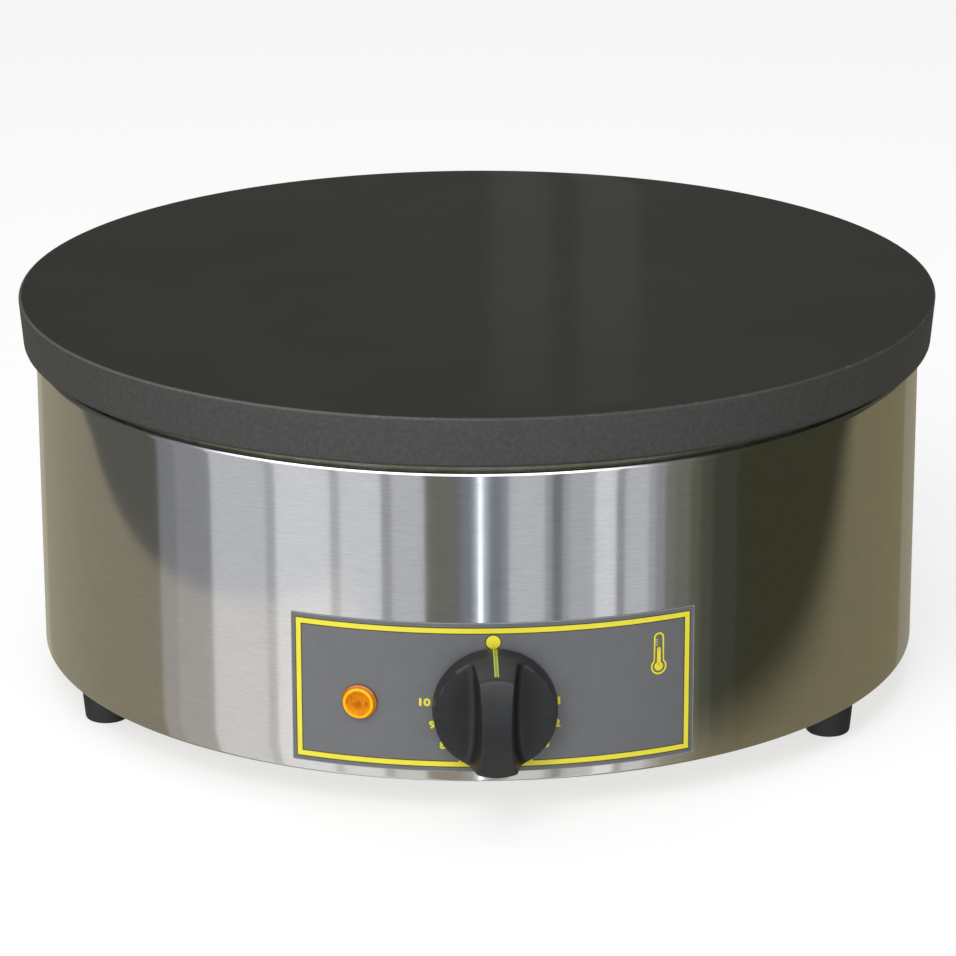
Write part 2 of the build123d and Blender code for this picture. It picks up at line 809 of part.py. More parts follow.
with BuildPart() as control_knob:
    with BuildSketch(Plane.YZ):
        with BuildLine():
            Polyline(
                knob_point(0, 0),
                knob_point(knob_radius, 0),
                knob_point(knob_rim_radius, knob_rim_depth),
                knob_point(knob_front_radius, knob_depth),
                knob_point(0, knob_depth),
                close=True,
            )
        make_face()
    revolve(axis=spindle_axis)
    with BuildSketch(Plane.YZ):
        with BuildLine():
            Polyline(
                knob_point(-knob_end_radius, knob_end_depth),
                knob_point(-knob_radius, knob_end_depth),
                knob_point(-knob_radius, 0),
                knob_point(knob_radius, 0),
                knob_point(knob_radius, knob_end_depth),
                knob_point(knob_end_radius, knob_end_depth),
            )
            ThreePointArc(
                knob_point(-knob_end_radius, knob_end_depth),
                knob_point(0, knob_depth),
                knob_point(knob_end_radius, knob_end_depth),
            )
        make_face()
    extrude(amount=knob_radius, both=True, mode=Mode.INTERSECT)
    with BuildSketch(Plane.XY.offset(axis_z)) as scoop:
        side = knob_radius + knob_stand_off
        front = knob_back - knob_depth - knob_stand_off
        spread = tan(radians(knob_grip_draft))
        root = knob_grip_half_width + (knob_depth - knob_scoop_depth) * spread
        tip = knob_grip_half_width - knob_stand_off * spread
        with BuildLine():
            Polyline(
                (root, knob_back - knob_scoop_depth),
                (tip, front),
                (side, front),
                (side, knob_back - knob_rim_depth),
            )
            TangentArc(
                (root, knob_back - knob_scoop_depth),
                (side, knob_back - knob_rim_depth),
                tangent=(1, 0),
            )
        make_face()
        fillet(corner(scoop, root, knob_back - knob_scoop_depth), knob_grip_root)
        mirror(about=Plane.YZ)
    extrude(amount=knob_radius + knob_stand_off, both=True, mode=Mode.SUBTRACT)
    with BuildSketch(Plane.XZ.offset(-knob_back)):
        with Locations((0, axis_z)):
            Circle(knob_radius - knob_skirt_wall)
            Circle(knob_hub_radius, mode=Mode.SUBTRACT)
    extrude(amount=knob_scoop_depth - knob_wall, mode=Mode.SUBTRACT)
    with BuildSketch(Plane.XZ.offset(-knob_back)):
        with Locations((0, axis_z)):
            Circle(spindle_radius + thread_clearance)
        with Locations((0, axis_z + spindle_flat + thread_clearance)):
            Rectangle(*flat_cutter, align=(Align.CENTER, Align.MIN), mode=Mode.SUBTRACT)
    extrude(amount=spindle_reach + bore_spare, mode=Mode.SUBTRACT)
    add(knob_pointer.part, mode=Mode.SUBTRACT)

control_knob.part.label = "control_knob"
export_step(control_knob.part, "parts/control_knob.step")

spindle_end = bracket_back + spindle_bore_depth - spindle_end_clearance

with BuildPart() as thermostat_spindle:
    with BuildSketch(Plane.XZ.offset(-spindle_end)):
        with Locations((0, axis_z)):
            Circle(spindle_radius)
    extrude(amount=spindle_end - knob_back + spindle_reach)
    with BuildSketch(Plane.XZ.offset(-knob_back)):
        with Locations((0, axis_z + spindle_flat)):
            Rectangle(*flat_cutter, align=(Align.CENTER, Align.MIN))
    extrude(amount=spindle_reach, mode=Mode.SUBTRACT)

thermostat_spindle.part.label = "thermostat_spindle"
export_step(thermostat_spindle.part, "parts/thermostat_spindle.step")

# =========================================================== thermostat and its sensor
with BuildPart() as thermostat_bracket:
    with BuildSketch(Plane.YZ):
        with BuildLine():
            Polyline(
                (bracket_face, tray_top),
                (bracket_back + bracket_foot, tray_top),
                (bracket_back + bracket_foot, tray_top + bracket_sheet),
                (bracket_back, tray_top + bracket_sheet),
                (bracket_back, tray_top + bracket_height),
                (bracket_face, tray_top + bracket_height),
                close=True,
            )
        make_face()
    extrude(amount=bracket_width / 2, both=True)
    with BuildSketch(Plane.XZ.offset(-bracket_face)):
        with Locations((0, axis_z)):
            Circle(bushing_radius + thread_clearance)
            with GridLocations(thermostat_screw_spacing, 0, 2, 1):
                Circle(m4_radius + thread_clearance)
    extrude(amount=-bracket_sheet, mode=Mode.SUBTRACT)
    with BuildSketch(Plane.XY.offset(tray_top)):
        with Locations(bracket_screw_places):
            Circle(m4_radius + thread_clearance)
    extrude(amount=bracket_sheet, mode=Mode.SUBTRACT)

thermostat_bracket.part.label = "thermostat_bracket"
export_step(thermostat_bracket.part, "parts/thermostat_bracket.step")

with BuildPart() as bracket_screws:
    with BuildSketch(Plane.XY.offset(tray_bottom)):
        with Locations(bracket_screw_places):
            hexagon(m4_flats)
    extrude(amount=-m4_head_height)
    with BuildSketch(Plane.XY.offset(tray_bottom)):
        with Locations(bracket_screw_places):
            Circle(m4_radius)
    extrude(amount=tray_sheet + bracket_sheet + bolt_tail)

bracket_screws.part.label = "bracket_screws"
export_step(bracket_screws.part, "parts/bracket_screws.step")

with BuildPart() as thermostat_body:
    with BuildSketch(Plane.XZ.offset(-bracket_back)):
        with Locations((0, axis_z)):
            RectangleRounded(thermostat_width, thermostat_width, thermostat_edge)
    extrude(amount=-thermostat_depth)
    with BuildSketch(Plane.XZ.offset(-bracket_back)):
        with Locations((0, axis_z)):
            Circle(bushing_radius)
    extrude(amount=bushing_length)
    with BuildSketch(Plane.XZ.offset(-bracket_back + bushing_length)):
        with Locations((0, axis_z)):
            Circle(spindle_radius + spindle_running_clearance)
    extrude(amount=-bushing_length - spindle_bore_depth, mode=Mode.SUBTRACT)
    with BuildSketch(Plane.XZ.offset(-bracket_back)):
        with Locations((0, axis_z)):
            with GridLocations(thermostat_screw_spacing, 0, 2, 1):
                Circle(m4_radius + thread_clearance)
    extrude(amount=-screw_bite - bore_spare, mode=Mode.SUBTRACT)

thermostat_body.part.label = "thermostat_body"
export_step(thermostat_body.part, "parts/thermostat_body.step")

with BuildPart() as thermostat_screws:
    with BuildSketch(Plane.XZ.offset(-bracket_face)):
        with Locations((0, axis_z)):
            with GridLocations(thermostat_screw_spacing, 0, 2, 1):
                hexagon(m4_flats)
    extrude(amount=m4_head_height)
    with BuildSketch(Plane.XZ.offset(-bracket_face)):
        with Locations((0, axis_z)):
            with GridLocations(thermostat_screw_spacing, 0, 2, 1):
                Circle(m4_radius)
    extrude(amount=-bracket_sheet - screw_bite)

thermostat_screws.part.label = "thermostat_screws"
export_step(thermostat_screws.part, "parts/thermostat_screws.step")

with BuildPart() as thermostat_tabs:
    with BuildSketch(Plane.XZ.offset(-thermostat_back)):
        with Locations([(x, axis_z + z) for x, z in tab_places]):
            Rectangle(tab_width, tab_sheet)
    extrude(amount=-tab_length)

thermostat_tabs.part.label = "thermostat_tabs"
export_step(thermostat_tabs.part, "parts/thermostat_tabs.step")

with BuildPart() as sensing_bulb:
    with BuildSketch(Plane.YZ.offset(-bulb_length / 2)):
        with Locations(bulb_centre[1:]):
            Circle(bulb_radius)
    extrude(amount=bulb_length)

sensing_bulb.part.label = "sensing_bulb"
export_step(sensing_bulb.part, "parts/sensing_bulb.step")

with BuildPart() as bulb_clip:
    strap = bulb_radius + bulb_clip_sheet
    with BuildSketch(Plane.YZ):
        with Locations((bulb_centre[1], web_bottom)):
            Rectangle(
                2 * (strap + bulb_clip_ear), bulb_clip_sheet, align=(Align.CENTER, Align.MAX)
            )
        with Locations(bulb_centre[1:]):
            Circle(strap)
            Circle(bulb_radius + thread_clearance, mode=Mode.SUBTRACT)
            Rectangle(
                2 * (bulb_radius + thread_clearance),
                strap,
                align=(Align.CENTER, Align.MIN),
                mode=Mode.SUBTRACT,
            )
        with Locations((bulb_centre[1], web_bottom)):
            Rectangle(2 * strap, strap, align=(Align.CENTER, Align.MIN), mode=Mode.SUBTRACT)
    extrude(amount=bulb_clip_width / 2, both=True)
    with BuildSketch(Plane.XY.offset(web_bottom)):
        with Locations((0, -bulb_ring)):
            with GridLocations(0, 2 * clip_screw_offset, 1, 2):
                Circle(m3_radius + thread_clearance)
    extrude(amount=-bulb_clip_sheet, mode=Mode.SUBTRACT)

bulb_clip.part.label = "bulb_clip"
export_step(bulb_clip.part, "parts/bulb_clip.step")

with BuildPart() as bulb_clip_screws:
    clip_face = web_bottom - bulb_clip_sheet
    with BuildSketch(Plane.XY.offset(clip_face)):
        with Locations((0, -bulb_ring)):
            with GridLocations(0, 2 * clip_screw_offset, 1, 2):
                hexagon(m3_flats)
    extrude(amount=-m3_head_height)
    with BuildSketch(Plane.XY.offset(clip_face)):
        with Locations((0, -bulb_ring)):
            with GridLocations(0, 2 * clip_screw_offset, 1, 2):
                Circle(m3_radius)
    extrude(amount=bulb_clip_sheet + screw_bite)

bulb_clip_screws.part.label = "bulb_clip_screws"
export_step(bulb_clip_screws.part, "parts/bulb_clip_screws.step")


# =========================================================== tubes and leads
def bend_radii(points):
    """The largest arc that each corner's two runs leave room for."""
    radii = []
    for before, here, after in zip(points, points[1:], points[2:]):
        run_in = Vector(*here) - Vector(*before)
        run_out = Vector(*after) - Vector(*here)
        half_turn = radians(run_in.get_angle(run_out) / 2)
        radii.append(bend_share * min(run_in.length, run_out.length) / tan(half_turn))
    return radii


def tube(points, radius):
    """A tube along straight runs that are joined by tangent arcs."""
    with BuildLine() as route:
        if len(points) > 2:
            FilletPolyline(*points, radius=bend_radii(points))
        else:
            Line(*points)
    with BuildPart() as made:
        with BuildSketch(Plane(route.line @ 0, z_dir=route.line % 0)):
            RegularPolygon(radius, tube_sides)
        sweep(path=route.line)
    return made.part


def lead(start, leaves, route, end, enters, straight=lead_straight):
    """A lead that leaves its start straight, follows its route and goes straight into its end."""
    first = Vector(*start) + straight * Vector(*leaves)
    last = Vector(*end) - straight * Vector(*enters)
    return tube([start, tuple(first), *route, tuple(last), end], lead_radius)


forward = (0, -1, 0)
upward = (0, 0, 1)
capillary_start = (-bulb_length / 2, -bulb_ring, bulb_centre[2])
capillary_end = (capillary_entry[0], thermostat_back, axis_z + capillary_entry[1])

with BuildPart() as capillary_tube:
    down = [(*capillary_hole, bulb_centre[2]), (*capillary_hole, pan_bottom - capillary_drop)]
    last_run = (capillary_end[0], thermostat_back + lead_straight, capillary_end[2])
    add(tube([capillary_start, *down, last_run, capillary_end], capillary_radius))

capillary_tube.part.label = "capillary_tube"
export_step(capillary_tube.part, "parts/capillary_tube.step")

block_way_z = tray_top + block_height / 2
block_front = block_centre[1] - block_depth / 2
live_way, neutral_way, earth_way = (
    (block_centre[0] + way * block_pitch, block_front, block_way_z) for way in (1, 0, -1)
)
live_tab, switched_tab, lamp_tab = (
    (x, thermostat_back + tab_length, axis_z + z) for x, z in tab_places
)
neutral_link = (*link_middle(-1), link_bottom)
live_link = (*link_middle(1), link_bottom)

with BuildPart() as live_lead:
    add(lead(live_way, forward, live_route, live_tab, forward))

live_lead.part.label = "live_lead"
export_step(live_lead.part, "parts/live_lead.step")

with BuildPart() as neutral_lead:
    add(lead(neutral_way, forward, neutral_route, neutral_link, upward))

neutral_lead.part.label = "neutral_lead"
export_step(neutral_lead.part, "parts/neutral_lead.step")

with BuildPart() as element_lead:
    backward = (0, 1, 0)
    add(lead(switched_tab, backward, element_route, live_link, upward))

element_lead.part.label = "element_lead"
export_step(element_lead.part, "parts/element_lead.step")

lamp_inward = at(-1, lamp_bearing)
lamp_rear = at(lamp_body_end, lamp_bearing, axis_z - lamp_pin_spacing)
lamp_link = (neutral_link[0], neutral_link[1] - lamp_link_offset, neutral_link[2])
tap_start = at(lamp_body_end, lamp_bearing, axis_z + lamp_pin_spacing)
tap_turn = at(lamp_body_end - tap_straight, lamp_bearing, axis_z + lamp_pin_spacing)
tap_end = (lamp_tab[0] - tab_width / 2 - lead_gap, lamp_tab[1] - tab_length / 2, lamp_tab[2])

with BuildPart() as lamp_leads:
    add(lead(lamp_rear, lamp_inward, lamp_route, lamp_link, upward))
    add(tube([tap_start, tap_turn, tap_end], lead_radius))

lamp_leads.part.label = "lamp_leads"
export_step(lamp_leads.part, "parts/lamp_leads.step")

earth_end = (earth_place[0], earth_place[1] + m5_flats / 2 + lead_radius, earth_lead_z)

with BuildPart() as earth_lead:
    add(lead(earth_way, forward, [], earth_end, forward, earth_straight))

earth_lead.part.label = "earth_lead"
export_step(earth_lead.part, "parts/earth_lead.step")

# =========================================================== supply terminals
clamp_pocket = clamp_width + 2 * thread_clearance

with BuildPart() as terminal_block:
    with BuildSketch(Plane.XY.offset(tray_top)):
        with Locations(block_centre):
            RectangleRounded(block_length, block_depth, block_edge)
    extrude(amount=block_height)
    with BuildSketch(Plane.XZ.offset(-block_front)):
        with Locations((block_centre[0], block_way_z)):
            with GridLocations(block_pitch, 0, 3, 1):
                Rectangle(clamp_pocket, clamp_pocket)
    extrude(amount=-block_depth, mode=Mode.SUBTRACT)
    with BuildSketch(Plane.XY.offset(tray_top)):
        with Locations(block_screw_places):
            Circle(m4_radius + thread_clearance)
    extrude(amount=block_height, mode=Mode.SUBTRACT)

terminal_block.part.label = "terminal_block"
export_step(terminal_block.part, "parts/terminal_block.step")

with BuildPart() as terminal_clamps:
    with BuildSketch(Plane.XZ.offset(-block_front)):
        with Locations((block_centre[0], block_way_z)):
            with GridLocations(block_pitch, 0, 3, 1):
                Rectangle(clamp_width, clamp_width)
                Circle(clamp_bore, mode=Mode.SUBTRACT)
    extrude(amount=-block_depth)

terminal_clamps.part.label = "terminal_clamps"
export_step(terminal_clamps.part, "parts/terminal_clamps.step")

with BuildPart() as block_screws:
    with BuildSketch(Plane.XY.offset(tray_top + block_height)):
        with Locations(block_screw_places):
            hexagon(m4_flats)
    extrude(amount=m4_head_height)
    with BuildSketch(Plane.XY.offset(tray_top + block_height)):
        with Locations(block_screw_places):
            Circle(m4_radius)
    extrude(amount=-block_height - tray_sheet)

block_screws.part.label = "block_screws"
export_step(block_screws.part, "parts/block_screws.step")

with BuildPart() as earth_stud:
    with BuildSketch(Plane.XY.offset(tray_bottom)):
        with Locations(earth_place):
            hexagon(m5_flats)
    extrude(amount=-m5_nut_height)
    with BuildSketch(Plane.XY.offset(tray_bottom)):
        with Locations(earth_place):
            Circle(m5_radius)
    extrude(amount=earth_stud_height)

earth_stud.part.label = "earth_stud"
export_step(earth_stud.part, "parts/earth_stud.step")

with BuildPart() as earth_nut:
    with BuildSketch(Plane.XY.offset(tray_top)):
        with Locations(earth_place):
            hexagon(m5_flats)
            Circle(m5_radius + thread_clearance, mode=Mode.SUBTRACT)
    extrude(amount=2 * m5_nut_height)

earth_nut.part.label = "earth_nut"
export_step(earth_nut.part, "parts/earth_nut.step")

# =========================================================== supply gland
gland_face = wall_plane(drum_radius, 180, gland_z)
gland_axis = Axis((0, 0, gland_z), (0, 1, 0))
neck_end = gland_collar + gland_neck_length
nut_end = gland_collar + gland_nut_length


def gland_point(radius, out):
    """A point of the gland's upright section: radius above its axis, out from the drum's wall."""
    return (drum_radius + out, gland_z + radius)


with BuildPart() as gland_body:
    with BuildSketch(gland_face):
        hexagon(gland_flats)
    extrude(amount=gland_collar)
    with BuildSketch(gland_face):
        Circle(gland_thread_radius)
    extrude(amount=-gland_tail)
    with BuildSketch(gland_face.offset(gland_collar)):
        Circle(gland_neck_radius)
    extrude(amount=gland_neck_length)
    with BuildSketch(gland_face.offset(neck_end)):
        Circle(gland_socket_radius)
    extrude(amount=-gland_seal_length, mode=Mode.SUBTRACT)
    with BuildSketch(gland_face.offset(neck_end)):
        Circle(gland_bore_radius)
    extrude(amount=-neck_end - gland_tail, mode=Mode.SUBTRACT)

gland_body.part.label = "gland_body"
export_step(gland_body.part, "parts/gland_body.step")

with BuildPart() as gland_seal:
    with BuildSketch(gland_face.offset(neck_end)):
        Circle(gland_socket_radius - thread_clearance)
        Circle(gland_seal_radius, mode=Mode.SUBTRACT)
    extrude(amount=-gland_seal_length)

gland_seal.part.label = "gland_seal"
export_step(gland_seal.part, "parts/gland_seal.step")

with BuildPart() as gland_nut:
    nut_gap = thread_clearance
    with BuildSketch(gland_face.offset(gland_collar + nut_gap)):
        hexagon(gland_flats)
    extrude(amount=gland_nut_hex)
    with BuildSketch(Plane.YZ):
        with BuildLine():
            Polyline(
                gland_point(0, gland_collar + nut_gap),
                gland_point(gland_flats / 2, gland_collar + nut_gap),
                gland_point(gland_flats / 2, gland_collar + gland_nut_hex),
                gland_point(gland_nut_end_radius, nut_end),
                gland_point(0, nut_end),
                close=True,
            )
        make_face()
    revolve(axis=gland_axis)
    with BuildSketch(gland_face.offset(gland_collar)):
        Circle(gland_neck_radius + thread_clearance)
    extrude(amount=gland_neck_length + thread_clearance, mode=Mode.SUBTRACT)
    with BuildSketch(gland_face.offset(nut_end)):
        Circle(gland_bore_radius)
    extrude(amount=-gland_nut_length, mode=Mode.SUBTRACT)

gland_nut.part.label = "gland_nut"
export_step(gland_nut.part, "parts/gland_nut.step")

locknut_sag = drum_inner - (drum_inner**2 - (gland_flats / 3**0.5) ** 2) ** 0.5

with BuildPart() as gland_locknut:
    with BuildSketch(wall_plane(drum_inner - locknut_sag, 180, gland_z)):
        hexagon(gland_flats)
        Circle(gland_thread_radius + thread_clearance, mode=Mode.SUBTRACT)
    extrude(amount=-locknut_height)

gland_locknut.part.label = "gland_locknut"
export_step(gland_locknut.part, "parts/gland_locknut.step")
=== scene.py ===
"""Dresses an electric crepe maker: cast-iron plate, brushed drum, control label, lamp and knob.

Lengths are written in millimetres and turned to metres where a mesh is made. A bearing is an
angle about the drum's axis that starts at the control label (-Y) and grows towards +X.
"""
import logging
import math
from dataclasses import dataclass, field
from enum import Enum

import bpy
import numpy as np
from mathutils import Matrix


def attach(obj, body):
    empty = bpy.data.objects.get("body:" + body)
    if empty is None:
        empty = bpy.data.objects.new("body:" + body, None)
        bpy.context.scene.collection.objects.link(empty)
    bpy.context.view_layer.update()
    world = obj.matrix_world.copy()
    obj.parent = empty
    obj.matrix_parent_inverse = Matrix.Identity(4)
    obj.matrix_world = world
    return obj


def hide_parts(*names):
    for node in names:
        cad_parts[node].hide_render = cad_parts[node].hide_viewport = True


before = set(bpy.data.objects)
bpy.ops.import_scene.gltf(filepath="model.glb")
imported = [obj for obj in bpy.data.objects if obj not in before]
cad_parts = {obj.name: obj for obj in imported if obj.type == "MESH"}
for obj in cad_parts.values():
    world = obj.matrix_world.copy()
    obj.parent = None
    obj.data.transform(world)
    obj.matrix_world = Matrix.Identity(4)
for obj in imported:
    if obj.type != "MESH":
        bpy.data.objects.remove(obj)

LOG = logging.getLogger("crepe_maker")
MM = 0.001
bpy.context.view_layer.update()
Colour = tuple[float, float, float]
Corners = tuple[float, float, float, float]


# ------------------------------------------------------------------ surfaces
def unit(vector: np.ndarray) -> np.ndarray:
    """The vector at length one."""
    vector = np.asarray(vector, float)
    return vector / np.linalg.norm(vector)


@dataclass(frozen=True)
class Place:
    """A local frame: local x runs along `side`, y along `up` and z along `out`."""

    origin: tuple[float, float, float] = (0.0, 0.0, 0.0)
    side: tuple[float, float, float] = (1.0, 0.0, 0.0)
    up: tuple[float, float, float] = (0.0, 1.0, 0.0)
    out: tuple[float, float, float] = (0.0, 0.0, 1.0)

    @classmethod
    def on_wall(cls, radius: float, bearing: float, height: float) -> "Place":
        """A frame that touches an upright cylinder.

        Args:
            radius: the cylinder's radius.
            bearing: the bearing of the point, in degrees.
            height: the height of the point.

        Returns:
            The frame with x along the wall, y up and z away from the axis.
        """
        turn = math.radians(bearing)
        out = (math.sin(turn), -math.cos(turn), 0.0)
        side = (math.cos(turn), math.sin(turn), 0.0)
        return cls((radius * out[0], radius * out[1], height), side, (0.0, 0.0, 1.0), out)

    @classmethod
    def upright(cls, radius: float, bearing: float, height: float) -> "Place":
        """A frame whose z is the world's, at a radius, bearing and height."""
        turn = math.radians(bearing)
        return cls((radius * math.sin(turn), -radius * math.cos(turn), height))

    def carry(self, points: np.ndarray) -> np.ndarray:
        """The world's points for local ones: origin + x side + y up + z out."""
        axes = np.array([self.side, self.up, self.out])
        return points @ axes + np.array(self.origin)


@dataclass(frozen=True)
class Layout:
    """The sizes that several pieces share, in millimetres; heights start at the feet's soles.

    Attributes:
        plate_radius: the cast-iron plate's radius at its cooking face.
        plate_rim: the height of the plate's rim.
        plate_gap: the gap between the drum and the rim.
        drum_radius: the drum's outer radius.
        drum_height: the height of the drum's wall.
        foot_height: how far the feet lift the drum.
        label_glue: the glue between the drum and the label.
        label_film: the label's thickness.
        label_rise: from the drum's lower edge to the label's.
        label_height: the label's height.
        axis_rise: from the drum's lower edge to the knob's axis.
        gland_rise: from the drum's lower edge to the gland's axis.
        knob_stand_off: the gap between the label and the knob's back.
        lamp_bearing: the lamp's bearing, in degrees.
        lens_radius: the lamp lens's outer radius.
        dish_radius: the radius of the lens's dish.
        pointer_half_width: half the width of the knob's pointer.
    """

    plate_radius: float = 200.0
    plate_rim: float = 21.1
    plate_gap: float = 3.7
    drum_radius: float = 193.0
    drum_height: float = 132.2
    foot_height: float = 15.0
    label_glue: float = 0.1
    label_film: float = 0.25
    label_rise: float = 4.6
    label_height: float = 64.1
    axis_rise: float = 33.0
    gland_rise: float = 30.0
    knob_stand_off: float = 1.2
    lamp_bearing: float = -16.4
    lens_radius: float = 6.4
    dish_radius: float = 5.3
    pointer_half_width: float = 0.87

    @property
    def drum_top(self) -> float:
        """The height of the drum's upper edge."""
        return self.foot_height + self.drum_height

    @property
    def plate_low(self) -> float:
        """The height of the lower edge of the plate's rim."""
        return round(self.drum_top + self.plate_gap, 3)

    @property
    def plate_top(self) -> float:
        """The height of the cooking face."""
        return round(self.plate_low + self.plate_rim, 3)

    @property
    def label_low(self) -> float:
        """The height of the label's lower edge."""
        return self.foot_height + self.label_rise

    @property
    def label_high(self) -> float:
        """The height of the label's upper edge."""
        return round(self.label_low + self.label_height, 3)

    @property
    def face_radius(self) -> float:
        """The radius of the label's face."""
        return self.drum_radius + self.label_glue + self.label_film

    @property
    def knob_back(self) -> float:
        """The world's y of the knob's back face."""
        return -round(self.face_radius + self.knob_stand_off, 3)

    @property
    def axis_z(self) -> float:
        """The height of the spindle and of the lamp."""
        return self.foot_height + self.axis_rise

    def lamp_place(self) -> Place:
        """The lamp's frame on the label's face."""
        return Place.on_wall(self.face_radius, self.lamp_bearing, self.axis_z)


LAYOUT = Layout()


def rounded_outline(corners: list[tuple[float, float]], radii: list[float], steps: int = 6) -> np.ndarray:
    """An open outline whose inner corners are arcs.

    An arc of radius r at a corner starts r / tan(half the corner's angle) before it, and its
    points are centre + r (cos a, sin a) with a evenly spaced between both tangent points.

    Args:
        corners: the outline's corners.
        radii: one radius for each corner between the first and the last.
        steps: the points of each arc.

    Returns:
        The outline's points, one a row.
    """
    points = [np.array(corners[0], float)[None]]
    for before, here, after, radius in zip(corners, corners[1:], corners[2:], radii):
        here = np.array(here, float)
        back, ahead = unit(np.array(before) - here), unit(np.array(after) - here)
        half = math.acos(float(np.clip(back @ ahead, -1, 1))) / 2
        if radius <= 0 or half > math.pi / 2 - 1e-3:
            points.append(here[None])
            continue
        centre = here + unit(back + ahead) * radius / math.sin(half)
        start = here + back * radius / math.tan(half) - centre
        end = here + ahead * radius / math.tan(half) - centre
        sweep = math.acos(float(np.clip(start @ end / radius**2, -1, 1)))
        share = np.linspace(0, 1, steps)[:, None]
        arc = (np.sin((1 - share) * sweep) * start + np.sin(share * sweep) * end) / math.sin(sweep)
        points.append(centre + arc)
    points.append(np.array(corners[-1], float)[None])
    return np.concatenate(points)


def divided(outline: np.ndarray, longest: float) -> np.ndarray:
    """The outline with points added so that no run is longer than `longest`.

    Args:
        outline: points, one a row.
        longest: the longest run allowed.

    Returns:
        The outline's points, the old ones among them.
    """
    runs = np.linalg.norm(np.diff(outline, axis=0), axis=1)
    counts = np.maximum(1, np.ceil(runs / longest).astype(int))
    starts = np.repeat(np.arange(len(runs)), counts)
    share = np.concatenate([np.arange(n) / n for n in counts])[:, None]
    points = outline[starts] * (1 - share) + outline[starts + 1] * share
    return np.vstack([points, outline[-1:]])


@dataclass
class Sheet:
    """A grid of points that becomes a mesh: rows follow the outline, columns go round or across.

    Attributes:
        points: the grid, rows x columns x 3, in millimetres.
        columns_close: the last column joins the first.
        rows_close: the last row joins the first.
        caps: closes the first and the last row with one face each.
    """

    points: np.ndarray
    columns_close: bool = True
    rows_close: bool = False
    caps: bool = True

    def faces(self, start: int) -> tuple[np.ndarray, list[tuple[int, ...]], list[tuple[int, ...]]]:
        """The grid's vertices, quads and caps, with the numbers counted from `start`.

        Args:
            start: the number of the first vertex.

        Returns:
            The vertices, one a row, the quads and the two end faces.
        """
        rows, columns = self.points.shape[:2]
        number = np.arange(rows * columns).reshape(rows, columns) + start
        down = np.vstack([number, number[:1]]) if self.rows_close else number
        both = np.hstack([down, down[:, :1]]) if self.columns_close else down
        quads = np.stack([both[:-1, :-1], both[:-1, 1:], both[1:, 1:], both[1:, :-1]], axis=-1)
        ends: list[tuple[int, ...]] = []
        if self.caps and not self.rows_close:
            ends = [tuple(number[0, ::-1].tolist()), tuple(number[-1].tolist())]
        return self.points.reshape(-1, 3), [tuple(q) for q in quads.reshape(-1, 4).tolist()], ends


def revolved(outline: np.ndarray, turns: np.ndarray, place: Place = Place()) -> Sheet:
    """An outline turned about the local z axis.

    The point at outline (radius, height) and angle t is (radius cos t, radius sin t, height).

    Args:
        outline: radius and height, one pair a row.
        turns: the angles of the columns, in radians.
        place: where the local frame stands.

    Returns:
        The turned sheet, closed all round.
    """
    radius, height = outline[:, :1], outline[:, 1:]
    flat = np.stack(
        [radius * np.cos(turns), radius * np.sin(turns), height + 0 * turns], axis=-1
    )
    return Sheet(place.carry(flat))


def full_turn(count: int) -> np.ndarray:
    """Evenly spaced angles of a whole turn, in radians."""
    return np.arange(count) * 2 * math.pi / count


def placed(mesh: bpy.types.Mesh, body: str) -> bpy.types.Object:
    """Makes an object of a mesh, at the origin.

    Args:
        mesh: the finished mesh, whose name the object takes.
        body: the body that it rides on.

    Returns:
        The object.
    """
    thing = bpy.data.objects.new(mesh.name, mesh)
    bpy.context.scene.collection.objects.link(thing)
    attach(thing, body)
    LOG.info("%s: %d faces on %s", mesh.name, len(mesh.polygons), body)
    return thing


def piece(name: str, sheets: list[Sheet], body: str, sharp: float = 32.0) -> bpy.types.Object:
    """Makes one object of several sheets, smooth except at sharp edges, with its faces outwards.

    A closed sheet whose signed volume, the sum over its faces of a . (b x c) / 6, is negative is
    inside out, and its faces are turned.

    Args:
        name: the object's name.
        sheets: the closed sheets, in millimetres.
        body: the body that it rides on.
        sharp: the angle past which an edge stays sharp, in degrees.

    Returns:
        The object, at the origin.
    """
    points: list[np.ndarray] = []
    faces: list[tuple[int, ...]] = []
    count = 0
    for sheet in sheets:
        own, quads, ends = sheet.faces(count)
        fans = [(end[0], b, c) for end in ends for b, c in zip(end[1:], end[2:])]
        corners = np.array([q[:3] for q in quads] + [(q[0], q[2], q[3]) for q in quads] + fans) - count
        a, b, c = own[corners[:, 0]], own[corners[:, 1]], own[corners[:, 2]]
        middle = own.mean(0)
        volumes = np.einsum("ij,ij->i", a - middle, np.cross(b - middle, c - middle))
        inside_out = volumes.sum() < 0
        faces += [face[::-1] for face in quads + ends] if inside_out else quads + ends
        points.append(own)
        count += len(own)
    mesh = bpy.data.meshes.new(name)
    mesh.from_pydata((np.vstack(points) * MM).tolist(), [], faces)
    mesh.validate()
    mesh.shade_smooth()
    mesh.set_sharp_from_angle(angle=math.radians(sharp))
    return placed(mesh, body)


